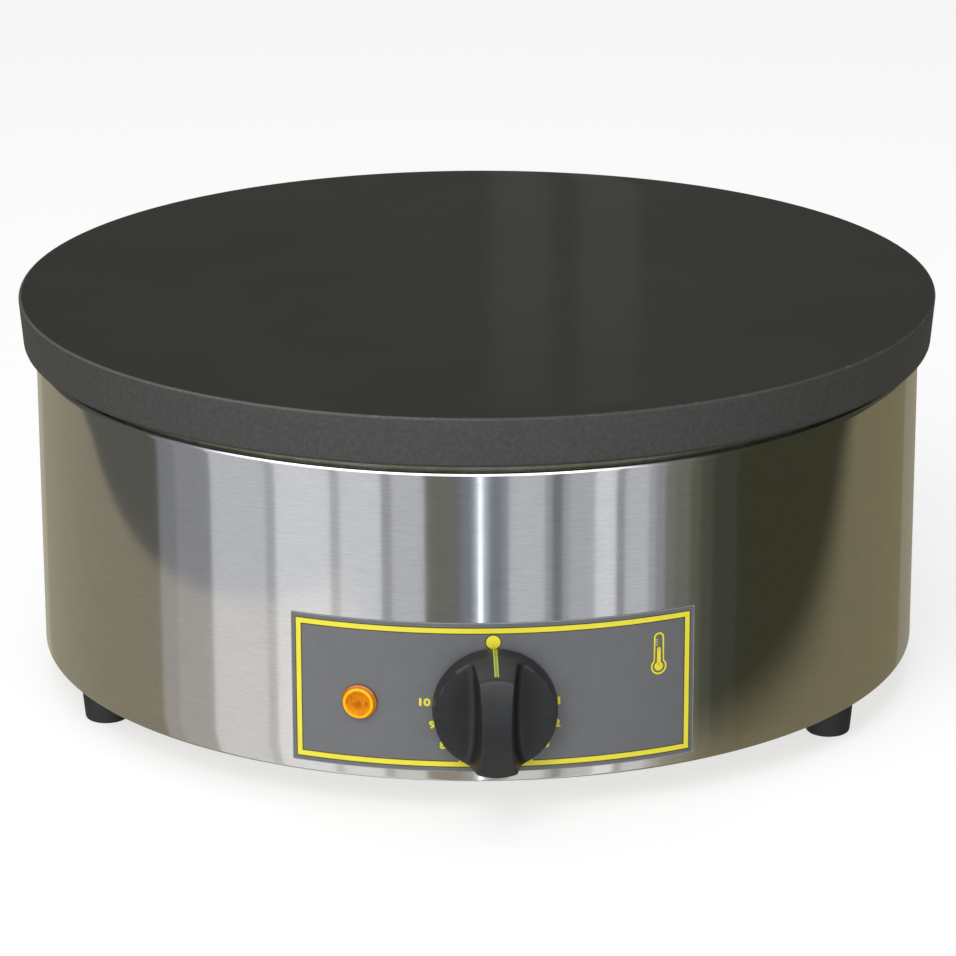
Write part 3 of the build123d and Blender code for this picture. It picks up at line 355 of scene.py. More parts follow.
# ------------------------------------------------------------------ shader maths
class Link:
    """An output socket of a shader: the operators add Math nodes."""

    def __init__(self, board: "Board", socket: bpy.types.NodeSocket) -> None:
        """Keeps the board that the socket stands on."""
        self.board = board
        self.socket = socket

    def maths(self, operation: str, *values: "Value") -> "Link":
        """A Math node on these values."""
        return self.board.node("ShaderNodeMath", {"operation": operation}, list(values))

    def __add__(self, other: "Value") -> "Link":
        """Sum."""
        return self.maths("ADD", self, other)

    def __sub__(self, other: "Value") -> "Link":
        """Difference."""
        return self.maths("SUBTRACT", self, other)

    def __rsub__(self, other: "Value") -> "Link":
        """Difference from a number."""
        return self.maths("SUBTRACT", other, self)

    def __mul__(self, other: "Value") -> "Link":
        """Product."""
        return self.maths("MULTIPLY", self, other)

    def __truediv__(self, other: "Value") -> "Link":
        """Quotient."""
        return self.maths("DIVIDE", self, other)

    def __pow__(self, other: "Value") -> "Link":
        """Power."""
        return self.maths("POWER", self, other)

    __radd__ = __add__
    __rmul__ = __mul__

    def size(self) -> "Link":
        """Absolute value."""
        return self.maths("ABSOLUTE", self)

    def rise(self, low: float, high: float) -> "Link":
        """Smooth step: 0 below `low`, 1 above `high`; the other way round where high < low.

        Args:
            low: the value where the step starts.
            high: the value where it ends.

        Returns:
            The step, from 0 to 1.
        """
        if high < low:
            return 1.0 - self.rise(high, low)
        return self.board.node(
            "ShaderNodeMapRange",
            {"interpolation_type": "SMOOTHSTEP"},
            {"Value": self, "From Min": low, "From Max": high},
        )

    def between(self, low: float, high: float, edge: float) -> "Link":
        """1 from `low` to `high`, with soft edges."""
        return self.rise(low - edge, low + edge) * self.rise(high + edge, high - edge)


Value = Link | float | Colour


class Board:
    """The node tree of one material or of the world."""

    def __init__(self, tree: bpy.types.NodeTree) -> None:
        """Empties the tree."""
        self.tree = tree
        tree.nodes.clear()

    def node(
        self,
        kind: str,
        settings: dict[str, object] | None = None,
        sockets: dict[str, Value] | list[Value] | None = None,
        out: str | int = 0,
    ) -> Link:
        """Adds a node.

        Args:
            kind: the node's type.
            settings: its properties, set first; "stops" fills a colour ramp with (place, colour).
            sockets: values or links of its inputs, by name or identifier, or in order.
            out: the output wanted, by identifier, name or number.

        Returns:
            The wanted output.
        """
        node = self.tree.nodes.new(kind)
        for key, value in (settings or {}).items():
            setattr(node, key, value)
        pairs = enumerate(sockets) if isinstance(sockets, list) else (sockets or {}).items()
        for key, value in pairs:
            socket = self._find(node.inputs, key)
            if isinstance(value, Link):
                self.tree.links.new(value.socket, socket)
            elif isinstance(value, tuple) and socket.type == "RGBA":
                socket.default_value = (*value, 1.0)
            else:
                socket.default_value = value
        return Link(self, self._find(node.outputs, out))

    def end(self, kind: str, surface: Link) -> None:
        """Adds the output node and feeds its surface."""
        self.tree.links.new(surface.socket, self.tree.nodes.new(kind).inputs["Surface"])

    @staticmethod
    def _find(sockets: bpy.types.bpy_prop_collection, key: str | int) -> bpy.types.NodeSocket:
        """The socket with this identifier, else this name, else this number.

        Args:
            sockets: the inputs or outputs of a node.
            key: an identifier, a name or a number.

        Returns:
            The socket.
        """
        if isinstance(key, int):
            return sockets[key]
        for socket in sockets:
            if socket.identifier == key:
                return socket
        return next(socket for socket in sockets if socket.name == key)

    def mix(self, share: Value, first: Value, second: Value, blend: str = "MIX") -> Link:
        """A colour mix: `first` where share is 0, `second` where it is 1.

        Args:
            share: 0 for the first colour, 1 for the second.
            first: the first colour.
            second: the second colour.
            blend: how the second is laid over the first.

        Returns:
            The mixed colour.
        """
        return self.node(
            "ShaderNodeMix",
            {"data_type": "RGBA", "blend_type": blend},
            {"Factor_Float": share, "A_Color": first, "B_Color": second},
            "Result_Color",
        )

    def place(self) -> Link:
        """The surface's Object coordinates, in millimetres.

        Returns:
            The place, as a vector.
        """
        own = self.node("ShaderNodeTexCoord", out="Object")
        return self.node(
            "ShaderNodeVectorMath", {"operation": "SCALE"}, {"Vector": own, "Scale": 1 / MM}
        )

    def parts(self, vector: Link) -> tuple[Link, Link, Link]:
        """The three numbers of a vector.

        Args:
            vector: any vector.

        Returns:
            Its x, y and z.
        """
        first = self.node("ShaderNodeSeparateXYZ", None, [vector])
        outputs = first.socket.node.outputs
        return Link(self, outputs[0]), Link(self, outputs[1]), Link(self, outputs[2])

    def vector(self, x: Value, y: Value, z: Value) -> Link:
        """A vector of three numbers."""
        return self.node("ShaderNodeCombineXYZ", None, [x, y, z])

    def noise(self, at: Link, grain: float, detail: float = 2.0, rough: float = 0.5) -> Link:
        """Noise from 0 to 1 whose spots are about `grain` millimetres across.

        Args:
            at: the place that the noise is read at.
            grain: the size of its spots.
            detail: how many finer layers it has.
            rough: how strong each finer layer is.

        Returns:
            The noise.
        """
        return self.node(
            "ShaderNodeTexNoise",
            None,
            {"Vector": at, "Scale": 1 / grain, "Detail": detail, "Roughness": rough},
            "Fac",
        )

    def bearing(self, at: Link) -> tuple[Link, Link, Link]:
        """The bearing in radians, the radius and the height of a place, about the drum's axis.

        Args:
            at: the place, in millimetres.

        Returns:
            The bearing, the radius and the height.
        """
        x, y, z = self.parts(at)
        turn = x.maths("ARCTAN2", x, 0.0 - y)
        radius = (x * x + y * y) ** 0.5
        return turn, radius, z

    def bump(self, height: Link, depth: float, after: Link | None = None) -> Link:
        """A Bump node: `height` from 0 to 1 stands for `depth` millimetres.

        Args:
            height: the relief, from 0 to 1.
            depth: what 1 stands for, in millimetres.
            after: a normal that the bump is laid over.

        Returns:
            The normal.
        """
        sockets: dict[str, Value] = {"Height": height, "Distance": depth * MM, "Strength": 1.0}
        if after is not None:
            sockets["Normal"] = after
        return self.node("ShaderNodeBump", None, sockets)


# ------------------------------------------------------------------ finishes
@dataclass(frozen=True)
class Finish:
    """A surface whose colour drifts in patches, with a grain that sets its gloss and relief.

    Attributes:
        name: the material's name.
        colour: the main colour.
        drift: the colour of the patches.
        roughness: the mean roughness.
        metallic: how metallic the surface is.
        patch: the size of the patches in millimetres.
        grain: the size of the grain in millimetres.
        relief: the depth of the grain in millimetres.
        gloss_spread: how far the grain moves the roughness, up and down.
        specular: how strong the plain reflection is.
        shader: further sockets that are the same all over.
    """

    name: str
    colour: Colour
    drift: Colour
    roughness: float = 0.5
    metallic: float = 0.0
    patch: float = 14.0
    grain: float = 0.5
    relief: float = 0.01
    gloss_spread: float = 0.08
    specular: float = 0.5
    shader: dict[str, float] = field(default_factory=dict, hash=False)

    def tone(self, board: Board, at: Link) -> Value:
        """The colour: `colour` that drifts to `drift` over soft patches."""
        patches = board.noise(at, self.patch, 3.0, 0.6).rise(0.35, 0.7)
        return board.mix(patches, self.colour, self.drift)

    def gloss(self, board: Board, at: Link) -> Value:
        """The roughness: its mean, moved by the grain and by the patches.

        Args:
            board: the material's node board.
            at: the place on the surface, in millimetres.

        Returns:
            The roughness.
        """
        grain = board.noise(at, self.grain, 2.0)
        patches = board.noise(at, self.patch * 0.6, 2.0)
        by_grain = (grain - 0.5) * (2 * self.gloss_spread)
        return self.roughness + by_grain + (patches - 0.5) * self.gloss_spread

    def relief_of(self, board: Board, at: Link) -> Link:
        """The relief: the grain's height through a Bump node."""
        return board.bump(board.noise(at, self.grain, 3.0, 0.6), self.relief)

    def metal_share(self, board: Board, at: Link) -> Value:
        """How metallic the surface is."""
        return self.metallic

    def further(self, board: Board, at: Link) -> dict[str, Value]:
        """The shader's further sockets; none on a plain surface."""
        return {}

    def material(self) -> bpy.types.Material:
        """The finished material, made once.

        Returns:
            The material.
        """
        found = bpy.data.materials.get(self.name)
        if found is not None:
            return found
        material = bpy.data.materials.new(self.name)
        material.use_nodes = True
        board = Board(material.node_tree)
        at = board.place()
        sockets: dict[str, Value] = {
            "Base Color": self.tone(board, at),
            "Roughness": self.gloss(board, at),
            "Metallic": self.metal_share(board, at),
            "Normal": self.relief_of(board, at),
            "Specular IOR Level": self.specular,
            **self.shader,
            **self.further(board, at),
        }
        shader = board.node("ShaderNodeBsdfPrincipled", None, sockets)
        board.end("ShaderNodeOutputMaterial", shader)
        material.diffuse_color = (*self.colour, 1.0)
        return material

    def dress(self, *things: bpy.types.Object) -> None:
        """Puts the material in every slot of the objects."""
        for thing in things:
            if not thing.material_slots:
                thing.data.materials.append(self.material())
            for slot in thing.material_slots:
                slot.material = self.material()


@dataclass(frozen=True)
class TurnedIron(Finish):
    """Seasoned cast iron: a turned, oiled top and a rim with the roughness of the sand mould."""

    top: float = LAYOUT.plate_top
    low: float = LAYOUT.plate_low
    radius: float = LAYOUT.plate_radius
    mark: float = 1.1
    face: Colour = (0.0135, 0.0142, 0.0112)
    worn_face: Colour = (0.0200, 0.0203, 0.0168)
    # bare iron on worn specks, and the colour of the painted highlight along the rim's upper edge
    edge: Colour = (0.115, 0.115, 0.108)
    # painted shade: the dark colour laid along the rim's lower rounded edge, which faces down into the
    # gap
    shade: Colour = (0.02, 0.02, 0.019)
    oil: float = 0.09
    speck: Colour = (0.30, 0.27, 0.20)

    def upward(self, board: Board, at: Link) -> Link:
        """1 on the turned top, 0 on the rim and below."""
        return board.parts(at)[2].rise(self.top - 0.6, self.top - 0.15)

    def rings(self, board: Board, at: Link) -> Link:
        """Fine rings left by the lathe: noise that changes with the radius and hardly round it."""
        turn, radius, _ = board.bearing(at)
        return board.noise(board.vector(radius, turn * 6.0, 0.0), self.mark, 3.0, 0.6)

    def tone(self, board: Board, at: Link) -> Value:
        """Greenish black on top with oil patches and a few light specks; plain grey on the rim, with
        painted shade along its lower edge and a painted highlight, over specks of wear, along its upper
        edge.

        Args:
            board: the material's node board.
            at: the place on the surface, in millimetres.

        Returns:
            The colour.
        """
        up = self.upward(board, at)
        oil = board.noise(at, 70.0, 4.0, 0.6).rise(0.30, 0.74)
        face = board.mix(oil * 0.6, self.face, self.worn_face)
        face = board.mix(self.rings(board, at).rise(0.35, 0.75) * 0.35, face, self.worn_face)
        specks = board.noise(at, 1.5, 1.0).rise(0.80, 0.84) * board.noise(at, 16.0, 1.0).rise(0.55, 0.65)
        face = board.mix(specks * 0.5, face, self.speck)
        sand = board.noise(at, 1.8, 4.0, 0.7).rise(0.3, 0.75)
        rim = board.mix(sand, self.colour, self.drift)
        # painted shade: the rim darkens towards its lower edge, where it faces down to the drum
        painted_low_edge_shade = board.parts(at)[2].rise(self.low + 1.7, self.low + 0.9)
        rim = board.mix(painted_low_edge_shade * 0.45, rim, self.shade)
        whole = board.mix(up, rim, face)
        # lays the painted highlight and the worn specks along the rim's upper edge
        return board.mix(self.edge_highlight_and_wear(board, at), whole, self.edge)

    def edge_highlight_and_wear(self, board: Board, at: Link) -> Link:
        """A light line on the rim's upper edge: a painted highlight, strong on the left where the light
        falls and faint elsewhere, with specks of wear.

        Args:
            board: the material's node board.
            at: the place on the surface, in millimetres.

        Returns:
            The share of painted highlight and bare iron.
        """
        turn, radius, height = board.bearing(at)
        outer = radius.rise(self.radius - 1.5, self.radius - 0.9)
        edge = outer * height.rise(self.top - 0.9, self.top - 0.45)
        # painted highlight: the line is strong on the left, where the light falls, and faint to the right
        clear = turn.rise(math.radians(14.0), math.radians(-28.0)) * 0.62 + 0.12
        specks = board.noise(at, 2.4, 3.0, 0.6).rise(0.58, 0.68) * 0.5
        return edge * (clear + specks)

    def further(self, board: Board, at: Link) -> dict[str, Value]:
        """A trace of polished oil on the top."""
        return {"Coat Weight": self.upward(board, at) * self.oil, "Coat Roughness": 0.03}

    def gloss(self, board: Board, at: Link) -> Value:
        """Satin on top where the iron is oiled, dull on the rim.

        Args:
            board: the material's node board.
            at: the place on the surface, in millimetres.

        Returns:
            The roughness.
        """
        up = self.upward(board, at)
        oil = board.noise(at, 46.0, 3.0, 0.6).rise(0.3, 0.7)
        return self.roughness + (board.noise(at, 0.8, 2.0) - 0.5) * 0.14 - up * (0.12 + oil * 0.06)

    def relief_of(self, board: Board, at: Link) -> Link:
        """Lathe rings on top, coarse sand grain with small pits on the rim.

        Args:
            board: the material's node board.
            at: the place on the surface, in millimetres.

        Returns:
            The normal.
        """
        up = self.upward(board, at)
        grain = board.noise(at, 1.6, 5.0, 0.7) + board.noise(at, 5.5, 2.0) * 0.8
        pits = board.noise(at, 2.6, 1.0).rise(0.66, 0.76)
        sand = grain * 0.6 - pits * 0.5
        turned = self.rings(board, at) * 0.10 + board.noise(at, 0.5, 2.0) * 0.12
        return board.bump(sand * (1.0 - up) + turned * up, self.relief)


class Brushing(Enum):
    """The way that a sheet was brushed."""

    ROUND = "round the drum"
    ALONG = "along the sheet"


@dataclass(frozen=True)
class BrushedSteel(Finish):
    """Stainless sheet with fine brush lines, polished smooth across them."""

    way: Brushing = Brushing.ROUND
    line: float = 0.24
    length: float = 26.0

    def lines(self, board: Board, at: Link, line: float, length: float) -> Link:
        """Noise drawn out along the brush lines: short across them, long along them.

        Args:
            board: the material's node board.
            at: the place on the surface, in millimetres.
            line: the lines' width.
            length: the lines' length.

        Returns:
            The noise, from 0 to 1.
        """
        if self.way is Brushing.ROUND:
            turn, radius, height = board.bearing(at)
            stretched = board.vector(turn * (LAYOUT.drum_radius / length), radius * 0.2, height / line)
        else:
            x, y, z = board.parts(at)
            stretched = board.vector(x / length, y / line, z * 0.5)
        return board.noise(stretched, 1.0, 2.0, 0.6)

    def tone(self, board: Board, at: Link) -> Value:
        """Steel whose short lines, longer lines and soft clouds differ a little in brightness.

        Args:
            board: the material's node board.
            at: the place on the surface, in millimetres.

        Returns:
            The colour.
        """
        fine = self.lines(board, at, self.line, self.length).rise(0.3, 0.7)
        wide = self.lines(board, at, self.line * 2, self.length * 2.3).rise(0.3, 0.7)
        cloud = board.noise(at, self.patch, 2.0).rise(0.3, 0.7)
        return board.mix(fine * 0.55 + wide * 0.3 + cloud * 0.15, self.colour, self.drift)

    def gloss(self, board: Board, at: Link) -> Value:
        """Lines of slightly different gloss.

        Args:
            board: the material's node board.
            at: the place on the surface, in millimetres.

        Returns:
            The roughness.
        """
        fine = self.lines(board, at, self.line * 1.5, self.length * 1.6)
        by_line = (fine - 0.5) * (2 * self.gloss_spread)
        return self.roughness + by_line + (board.noise(at, 30.0, 2.0) - 0.5) * 0.05

    def relief_of(self, board: Board, at: Link) -> Link:
        """The brush lines' own depth."""
        return board.bump(self.lines(board, at, self.line, self.length), self.relief)


@dataclass(frozen=True)
class LabelFilm(Finish):
    """Printed polyester film: fine pebbled satin with faint ink mottling."""

    def relief_of(self, board: Board, at: Link) -> Link:
        """A pebbled skin: small rounded cells.

        Args:
            board: the material's node board.
            at: the place on the surface, in millimetres.

        Returns:
            The normal.
        """
        cells = board.node(
            "ShaderNodeTexVoronoi", None, {"Vector": at, "Scale": 1 / self.grain}, "Distance"
        )
        return board.bump(cells, self.relief)


@dataclass(frozen=True)
class AmberPlastic(Finish):
    """Clear amber plastic: bright in its ring, deeper in its dish, dark red in its flange, with a painted
    contact shadow round the flange's outer edge.
    """

    deep: Colour = (0.72, 0.25, 0.0)
    blotch: Colour = (0.48, 0.115, 0.0)
    flange: Colour = (0.52, 0.14, 0.001)
    # painted contact shadow: the dark brown ring round the flange's outer edge
    under: Colour = (0.10, 0.025, 0.002)
    dish_radius: float = LAYOUT.dish_radius
    lens_radius: float = LAYOUT.lens_radius
    place: Place = LAYOUT.lamp_place()
    lit: float = 0.2
    coat: float = 0.6

    def off_axis(self, board: Board, at: Link) -> Link:
        """The distance from the lens's axis.

        Args:
            board: the material's node board.
            at: the place on the surface, in millimetres.

        Returns:
            The distance, in millimetres.
        """
        from_origin = board.node(
            "ShaderNodeVectorMath", {"operation": "SUBTRACT"}, [at, tuple(self.place.origin)]
        )
        side = tuple(self.place.side)
        dot = {"operation": "DOT_PRODUCT"}
        across = board.node("ShaderNodeVectorMath", dot, [from_origin, side], "Value")
        up = board.parts(from_origin)[2]
        return (across * across + up * up) ** 0.5

    def tone(self, board: Board, at: Link) -> Value:
        """Amber by the distance from the axis: dish with soft orange blotches, ring, flange, and a
        painted contact shadow outside the flange.

        Args:
            board: the material's node board.
            at: the place on the surface, in millimetres.

        Returns:
            The colour.
        """
        radius = self.off_axis(board, at)
        ring = board.mix(board.noise(at, 1.6, 3.0).rise(0.3, 0.7), self.colour, self.drift)
        dish = board.mix(board.noise(at, 3.0, 2.0).rise(0.42, 0.68), self.deep, self.blotch)
        whole = board.mix(radius.rise(self.dish_radius + 0.45, self.dish_radius - 0.5), ring, dish)
        beyond = radius.rise(self.lens_radius - 0.05, self.lens_radius + 0.15)
        whole = board.mix(beyond, whole, self.flange)
        # painted shade: darkens the flange's outer edge where it meets the label
        contact_shade_ring = radius.rise(self.lens_radius + 0.8, self.lens_radius + 1.05)
        return board.mix(contact_shade_ring, whole, self.under)

    def further(self, board: Board, at: Link) -> dict[str, Value]:
        """A little of its own colour, as light that passes the plastic, and a glossy flange.

        Args:
            board: the material's node board.
            at: the place on the surface, in millimetres.

        Returns:
            The sockets and what feeds them.
        """
        coat = self.off_axis(board, at).rise(self.lens_radius - 0.9, self.lens_radius - 0.3)
        return {
            "Emission Color": self.tone(board, at),
            "Emission Strength": self.lit,
            "Coat Weight": coat * self.coat,
        }


@dataclass(frozen=True)
class PointerPaint(Finish):
    """Paint that is paler along both edges of the pointer's groove and darker along its middle."""

    edge: Colour = (0.58, 0.64, 0.12)
    half_width: float = LAYOUT.pointer_half_width

    def tone(self, board: Board, at: Link) -> Value:
        """The paint, paler towards both long edges.

        Args:
            board: the material's node board.
            at: the place on the surface, in millimetres.

        Returns:
            The colour.
        """
        off = board.parts(at)[0].size()
        toward_edges = off.rise(self.half_width - 0.55, self.half_width - 0.2)
        return board.mix(toward_edges, super().tone(board, at), self.edge)


@dataclass(frozen=True)
class StripedLead(Finish):
    """Green wire insulation with a yellow stripe."""

    pitch: float = 9.0

    def tone(self, board: Board, at: Link) -> Value:
        """Stripes across the lead that lean, from the sum of the three directions.

        Args:
            board: the material's node board.
            at: the place on the surface, in millimetres.

        Returns:
            The colour.
        """
        x, y, z = board.parts(at)
        phase = (x * 0.6 + y + z * 0.8) * (2 * math.pi / self.pitch)
        return board.mix(phase.maths("SINE", phase).rise(-0.1, 0.1), self.colour, self.drift)


class Finishes:
    """Every finish of the crepe maker, by the record's slot."""

    def __init__(self) -> None:
        """Writes down the finishes."""
        brushed = {"Anisotropic": 0.5, "Anisotropic Rotation": 0.25}
        self.iron = TurnedIron(
            "seasoned_cast_iron", (0.051, 0.052, 0.051), (0.078, 0.077, 0.075), roughness=0.62,
            relief=0.30, specular=0.4,
        )
        self.drum = BrushedSteel(
            "brushed_stainless_drum", (0.585, 0.585, 0.585), (0.665, 0.665, 0.665), roughness=0.085,
            metallic=1.0, patch=8.0, relief=0.0005, gloss_spread=0.01, line=0.34, length=3.6,
            shader=brushed,
        )
        self.sheet = BrushedSteel(
            "stainless_sheet", (0.55, 0.55, 0.54), (0.64, 0.64, 0.62), roughness=0.34, metallic=1.0,
            relief=0.006, gloss_spread=0.06, way=Brushing.ALONG, line=0.4, length=30.0,
        )
        self.zinc = Finish(
            "bright_zinc_plating", (0.50, 0.52, 0.54), (0.58, 0.56, 0.50), roughness=0.36, metallic=1.0,
            patch=6.0, grain=0.3, relief=0.006,
        )
        self.aluminised = Finish(
            "aluminised_pan_steel", (0.29, 0.295, 0.235), (0.215, 0.235, 0.140), roughness=0.45,
            metallic=0.85, patch=9.0, grain=0.9, relief=0.02,
        )
        self.sheath = Finish(
            "oxidised_heater_sheath", (0.075, 0.078, 0.070), (0.12, 0.10, 0.075), roughness=0.55,
            metallic=0.6, patch=18.0, grain=0.4, relief=0.02,
        )
        self.fibre = Finish(
            "pressed_ceramic_fibre", (0.82, 0.80, 0.74), (0.70, 0.66, 0.56), roughness=0.95, patch=30.0,
            grain=0.9, relief=0.35, specular=0.2,
        )
        self.porcelain = Finish(
            "glazed_porcelain", (0.80, 0.78, 0.72), (0.72, 0.69, 0.62), roughness=0.22, patch=8.0,
            grain=0.7, relief=0.01,
        )
        self.brass = Finish(
            "turned_brass", (0.62, 0.46, 0.20), (0.50, 0.35, 0.15), roughness=0.32, metallic=1.0,
            patch=5.0, grain=0.25, relief=0.006,
        )
        self.copper = Finish(
            "drawn_copper", (0.62, 0.31, 0.19), (0.42, 0.20, 0.12), roughness=0.34, metallic=1.0,
            patch=9.0, grain=0.3, relief=0.006,
        )
        self.rubber = Finish(
            "moulded_black_rubber", (0.012, 0.014, 0.015), (0.020, 0.022, 0.023), roughness=0.62,
            patch=9.0, grain=0.35, relief=0.03,
        )
        self.thermoset = Finish(
            "satin_black_thermoset", (0.0135, 0.0145, 0.0155), (0.018, 0.019, 0.0205), roughness=0.44,
            patch=12.0, grain=0.32, relief=0.012, gloss_spread=0.06,
        )
        self.nylon = Finish(
            "black_glass_nylon", (0.022, 0.022, 0.023), (0.036, 0.035, 0.035), roughness=0.46,
            patch=7.0, grain=0.4, relief=0.02,
        )
        self.label = LabelFilm(
            "grey_label_film", (0.148, 0.154, 0.164), (0.160, 0.165, 0.176), roughness=0.42, patch=9.0,
            grain=0.35, relief=0.006, gloss_spread=0.04, specular=0.7,
        )
        # painted highlight: a pale line that stands in for the light on the film's cut edge
        self.label_edge = Finish(
            "painted_film_edge_highlight", (0.30, 0.32, 0.36), (0.38, 0.40, 0.44), roughness=0.5, patch=4.0,
            grain=0.3,
        )
        self.yellow = Finish(
            "yellow_print", (1.0, 0.90, 0.055), (0.97, 0.86, 0.045), roughness=0.42, patch=6.0,
            grain=0.3, relief=0.004,
        )
        self.olive = Finish(
            "olive_print", (0.055, 0.052, 0.013), (0.045, 0.043, 0.012), roughness=0.45, patch=6.0,
            grain=0.3, relief=0.004,
        )
        self.green = Finish(
            "green_print", (0.52, 0.60, 0.13), (0.46, 0.54, 0.12), roughness=0.45, patch=4.0, grain=0.3,
            relief=0.004,
        )
        self.pointer = PointerPaint(
            "yellow_green_pointer_paint", (0.28, 0.34, 0.030), (0.24, 0.30, 0.028), roughness=0.42,
            patch=3.0, grain=0.25, relief=0.01,
        )
        self.amber = AmberPlastic(
            "amber_lens_plastic", (1.0, 0.55, 0.001), (0.98, 0.47, 0.001), roughness=0.22, relief=0.004,
            gloss_spread=0.02, specular=0.12, shader={"Coat Roughness": 0.08},
        )
        self.white = Finish(
            "white_lamp_nylon", (0.80, 0.79, 0.74), (0.74, 0.72, 0.66), roughness=0.45, patch=5.0,
            grain=0.4,
        )
        self.blue = Finish(
            "blue_lead_sheath", (0.03, 0.12, 0.42), (0.04, 0.15, 0.48), roughness=0.42, patch=7.0,
            grain=0.4,
        )
        self.brown = Finish(
            "brown_lead_sheath", (0.14, 0.055, 0.025), (0.18, 0.075, 0.035), roughness=0.42, patch=7.0,
            grain=0.4,
        )
        self.striped = StripedLead(
            "green_and_yellow_lead_sheath", (0.04, 0.25, 0.05), (0.72, 0.62, 0.04), roughness=0.42,
            patch=7.0, grain=0.4,
        )

    def by_slot(self) -> dict[str, Finish]:
        """The finish of each of the record's material slots.

        Returns:
            The finishes, by slot.
        """
        return {
            "cast_iron": self.iron,
            "stainless_steel": self.sheet,
            "zinc_plated_steel": self.zinc,
            "aluminised_steel": self.aluminised,
            "heater_sheath": self.sheath,
            "ceramic_fibre": self.fibre,
            "porcelain": self.porcelain,
            "brass": self.brass,
            "copper": self.copper,
            "black_rubber": self.rubber,
            "black_thermoset": self.thermoset,
            "black_nylon": self.nylon,
            "label_film": self.label,
            "pointer_paint": self.pointer,
            "amber_lens": self.amber,
            "white_plastic": self.white,
            "blue_lead": self.blue,
            "brown_lead": self.brown,
            "green_yellow_lead": self.striped,
        }


# ------------------------------------------------------------------ sub-assemblies
@dataclass
class Griddle:
    """The cast-iron plate: a turned top, a drafted rim and a recess over the insulation pan."""

    radius: float = LAYOUT.plate_radius
    top: float = LAYOUT.plate_top
    low: float = LAYOUT.plate_low
    draft: float = 1.8
    web: float = 14.0
    recess_radius: float = 191.6
    top_edge: float = 1.1
    low_edge: float = 1.8
    recess_edge: float = 0.6
    recess_root: float = 3.0
    pole: float = 0.5
    boss_drop: float = 7.0
    centre_boss: float = 15.0
    side_boss: float = 11.0
    boss_ring: float = 120.0
    boss_bearings: tuple[float, ...] = (60.0, 180.0, 300.0)
    segments: int = 360

    def outline(self) -> np.ndarray:
        """Radius and height from the top's middle round the rim to the web's middle.

        Returns:
            The outline's points, one a row.
        """
        under = self.top - self.web
        corners = [
            (self.pole, self.top),
            (self.radius, self.top),
            (self.radius - self.draft, self.low),
            (self.recess_radius, self.low),
            (self.recess_radius, under),
            (self.pole, under),
        ]
        radii = [self.top_edge, self.low_edge, self.recess_edge, self.recess_root]
        return divided(rounded_outline(corners, radii, 8), 12.0)

    def boss(self, radius: float, bearing: float, reach: float) -> Sheet:
        """A cast boss under the web: a round stub with a soft root and edge.

        Args:
            radius: the boss's distance from the axis.
            bearing: its bearing, in degrees.
            reach: its own radius.

        Returns:
            The boss.
        """
        under = self.top - self.web
        end = under - self.boss_drop
        foot = reach + 3.0
        corners = [(foot, under + 1.0), (foot, under), (reach, under), (reach, end), (0.3, end)]
        outline = rounded_outline(corners, [0.0, 2.0, 0.8], 5)
        return revolved(outline, full_turn(48), Place.upright(radius, bearing, 0.0))

    def build(self, finishes: Finishes) -> None:
        """Makes the plate with its bosses.

        Args:
            finishes: every finish of the machine.
        """
        sheets = [revolved(self.outline(), full_turn(self.segments))]
        sheets.append(self.boss(0.0, 0.0, self.centre_boss))
        sheets += [self.boss(self.boss_ring, bearing, self.side_boss) for bearing in self.boss_bearings]
        plate = piece("cooking_plate", sheets, "housing")
        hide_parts("griddle_plate")
        finishes.iron.dress(plate)


@dataclass
class Drum:
    """The drum of stainless sheet: a rolled top edge, an eased lower edge and an inward flange."""

    radius: float = LAYOUT.drum_radius
    sheet: float = 1.2
    bottom: float = LAYOUT.foot_height
    top: float = LAYOUT.drum_top
    flange: float = 20.0
    roll: float = 3.0
    lip: float = 0.32
    lower_edge: float = 1.1
    seam_bearing: float = 205.0
    seam_gap: float = 0.3
    segments: int = 720

    def outline(self) -> np.ndarray:
        """Radius and height of the sheet's section, from the flange's inner edge up and back down.

        The rolled edge is an arc that leaves the wall upright and ends at the top, where a flat of
        `lip` is left: with the turn t from 0 to the turn at the end e, its points are
        (radius - roll (1 - cos t), top - roll (sin e - sin t)).

        Returns:
            The section's points, one a row.
        """
        inner = self.radius - self.sheet
        flange = self.radius - self.flange
        floor = self.bottom + self.sheet
        end = math.acos(1 - (self.sheet - self.lip) / self.roll)
        turn = np.linspace(0, end, 12)
        arc = np.stack([
            self.radius - self.roll * (1 - np.cos(turn)),
            self.top - self.roll * (math.sin(end) - np.sin(turn)),
        ], axis=-1)
        below = [(flange, floor), (flange, self.bottom), (self.radius, self.bottom), tuple(arc[0])]
        behind = [tuple(arc[-1]), (inner, self.top), (inner, floor), (flange, floor)]
        outline = np.concatenate([
            rounded_outline(below, [0.2, self.lower_edge], 9)[:-1],
            arc[:-1],
            rounded_outline(behind, [0.1, 0.8], 9),
        ])
        return divided(outline, 9.0)[:-1]

    def turns(self) -> np.ndarray:
        """Angles that go round from one side of the seam to the other.

        Returns:
            The angles, in radians.
        """
        half = self.seam_gap / self.radius / 2
        seam = math.radians(self.seam_bearing - 90)
        return np.linspace(seam + half, seam + 2 * math.pi - half, self.segments)

    def build(self, finishes: Finishes) -> None:
        """Makes the drum as one sheet whose ends meet at the seam.

        Args:
            finishes: every finish of the machine.
        """
        skin = revolved(self.outline(), self.turns())
        across = Sheet(np.swapaxes(skin.points, 0, 1))
        drum = piece("drum_skin", [across], "housing")
        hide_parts("drum_shell")
        finishes.drum.dress(drum)


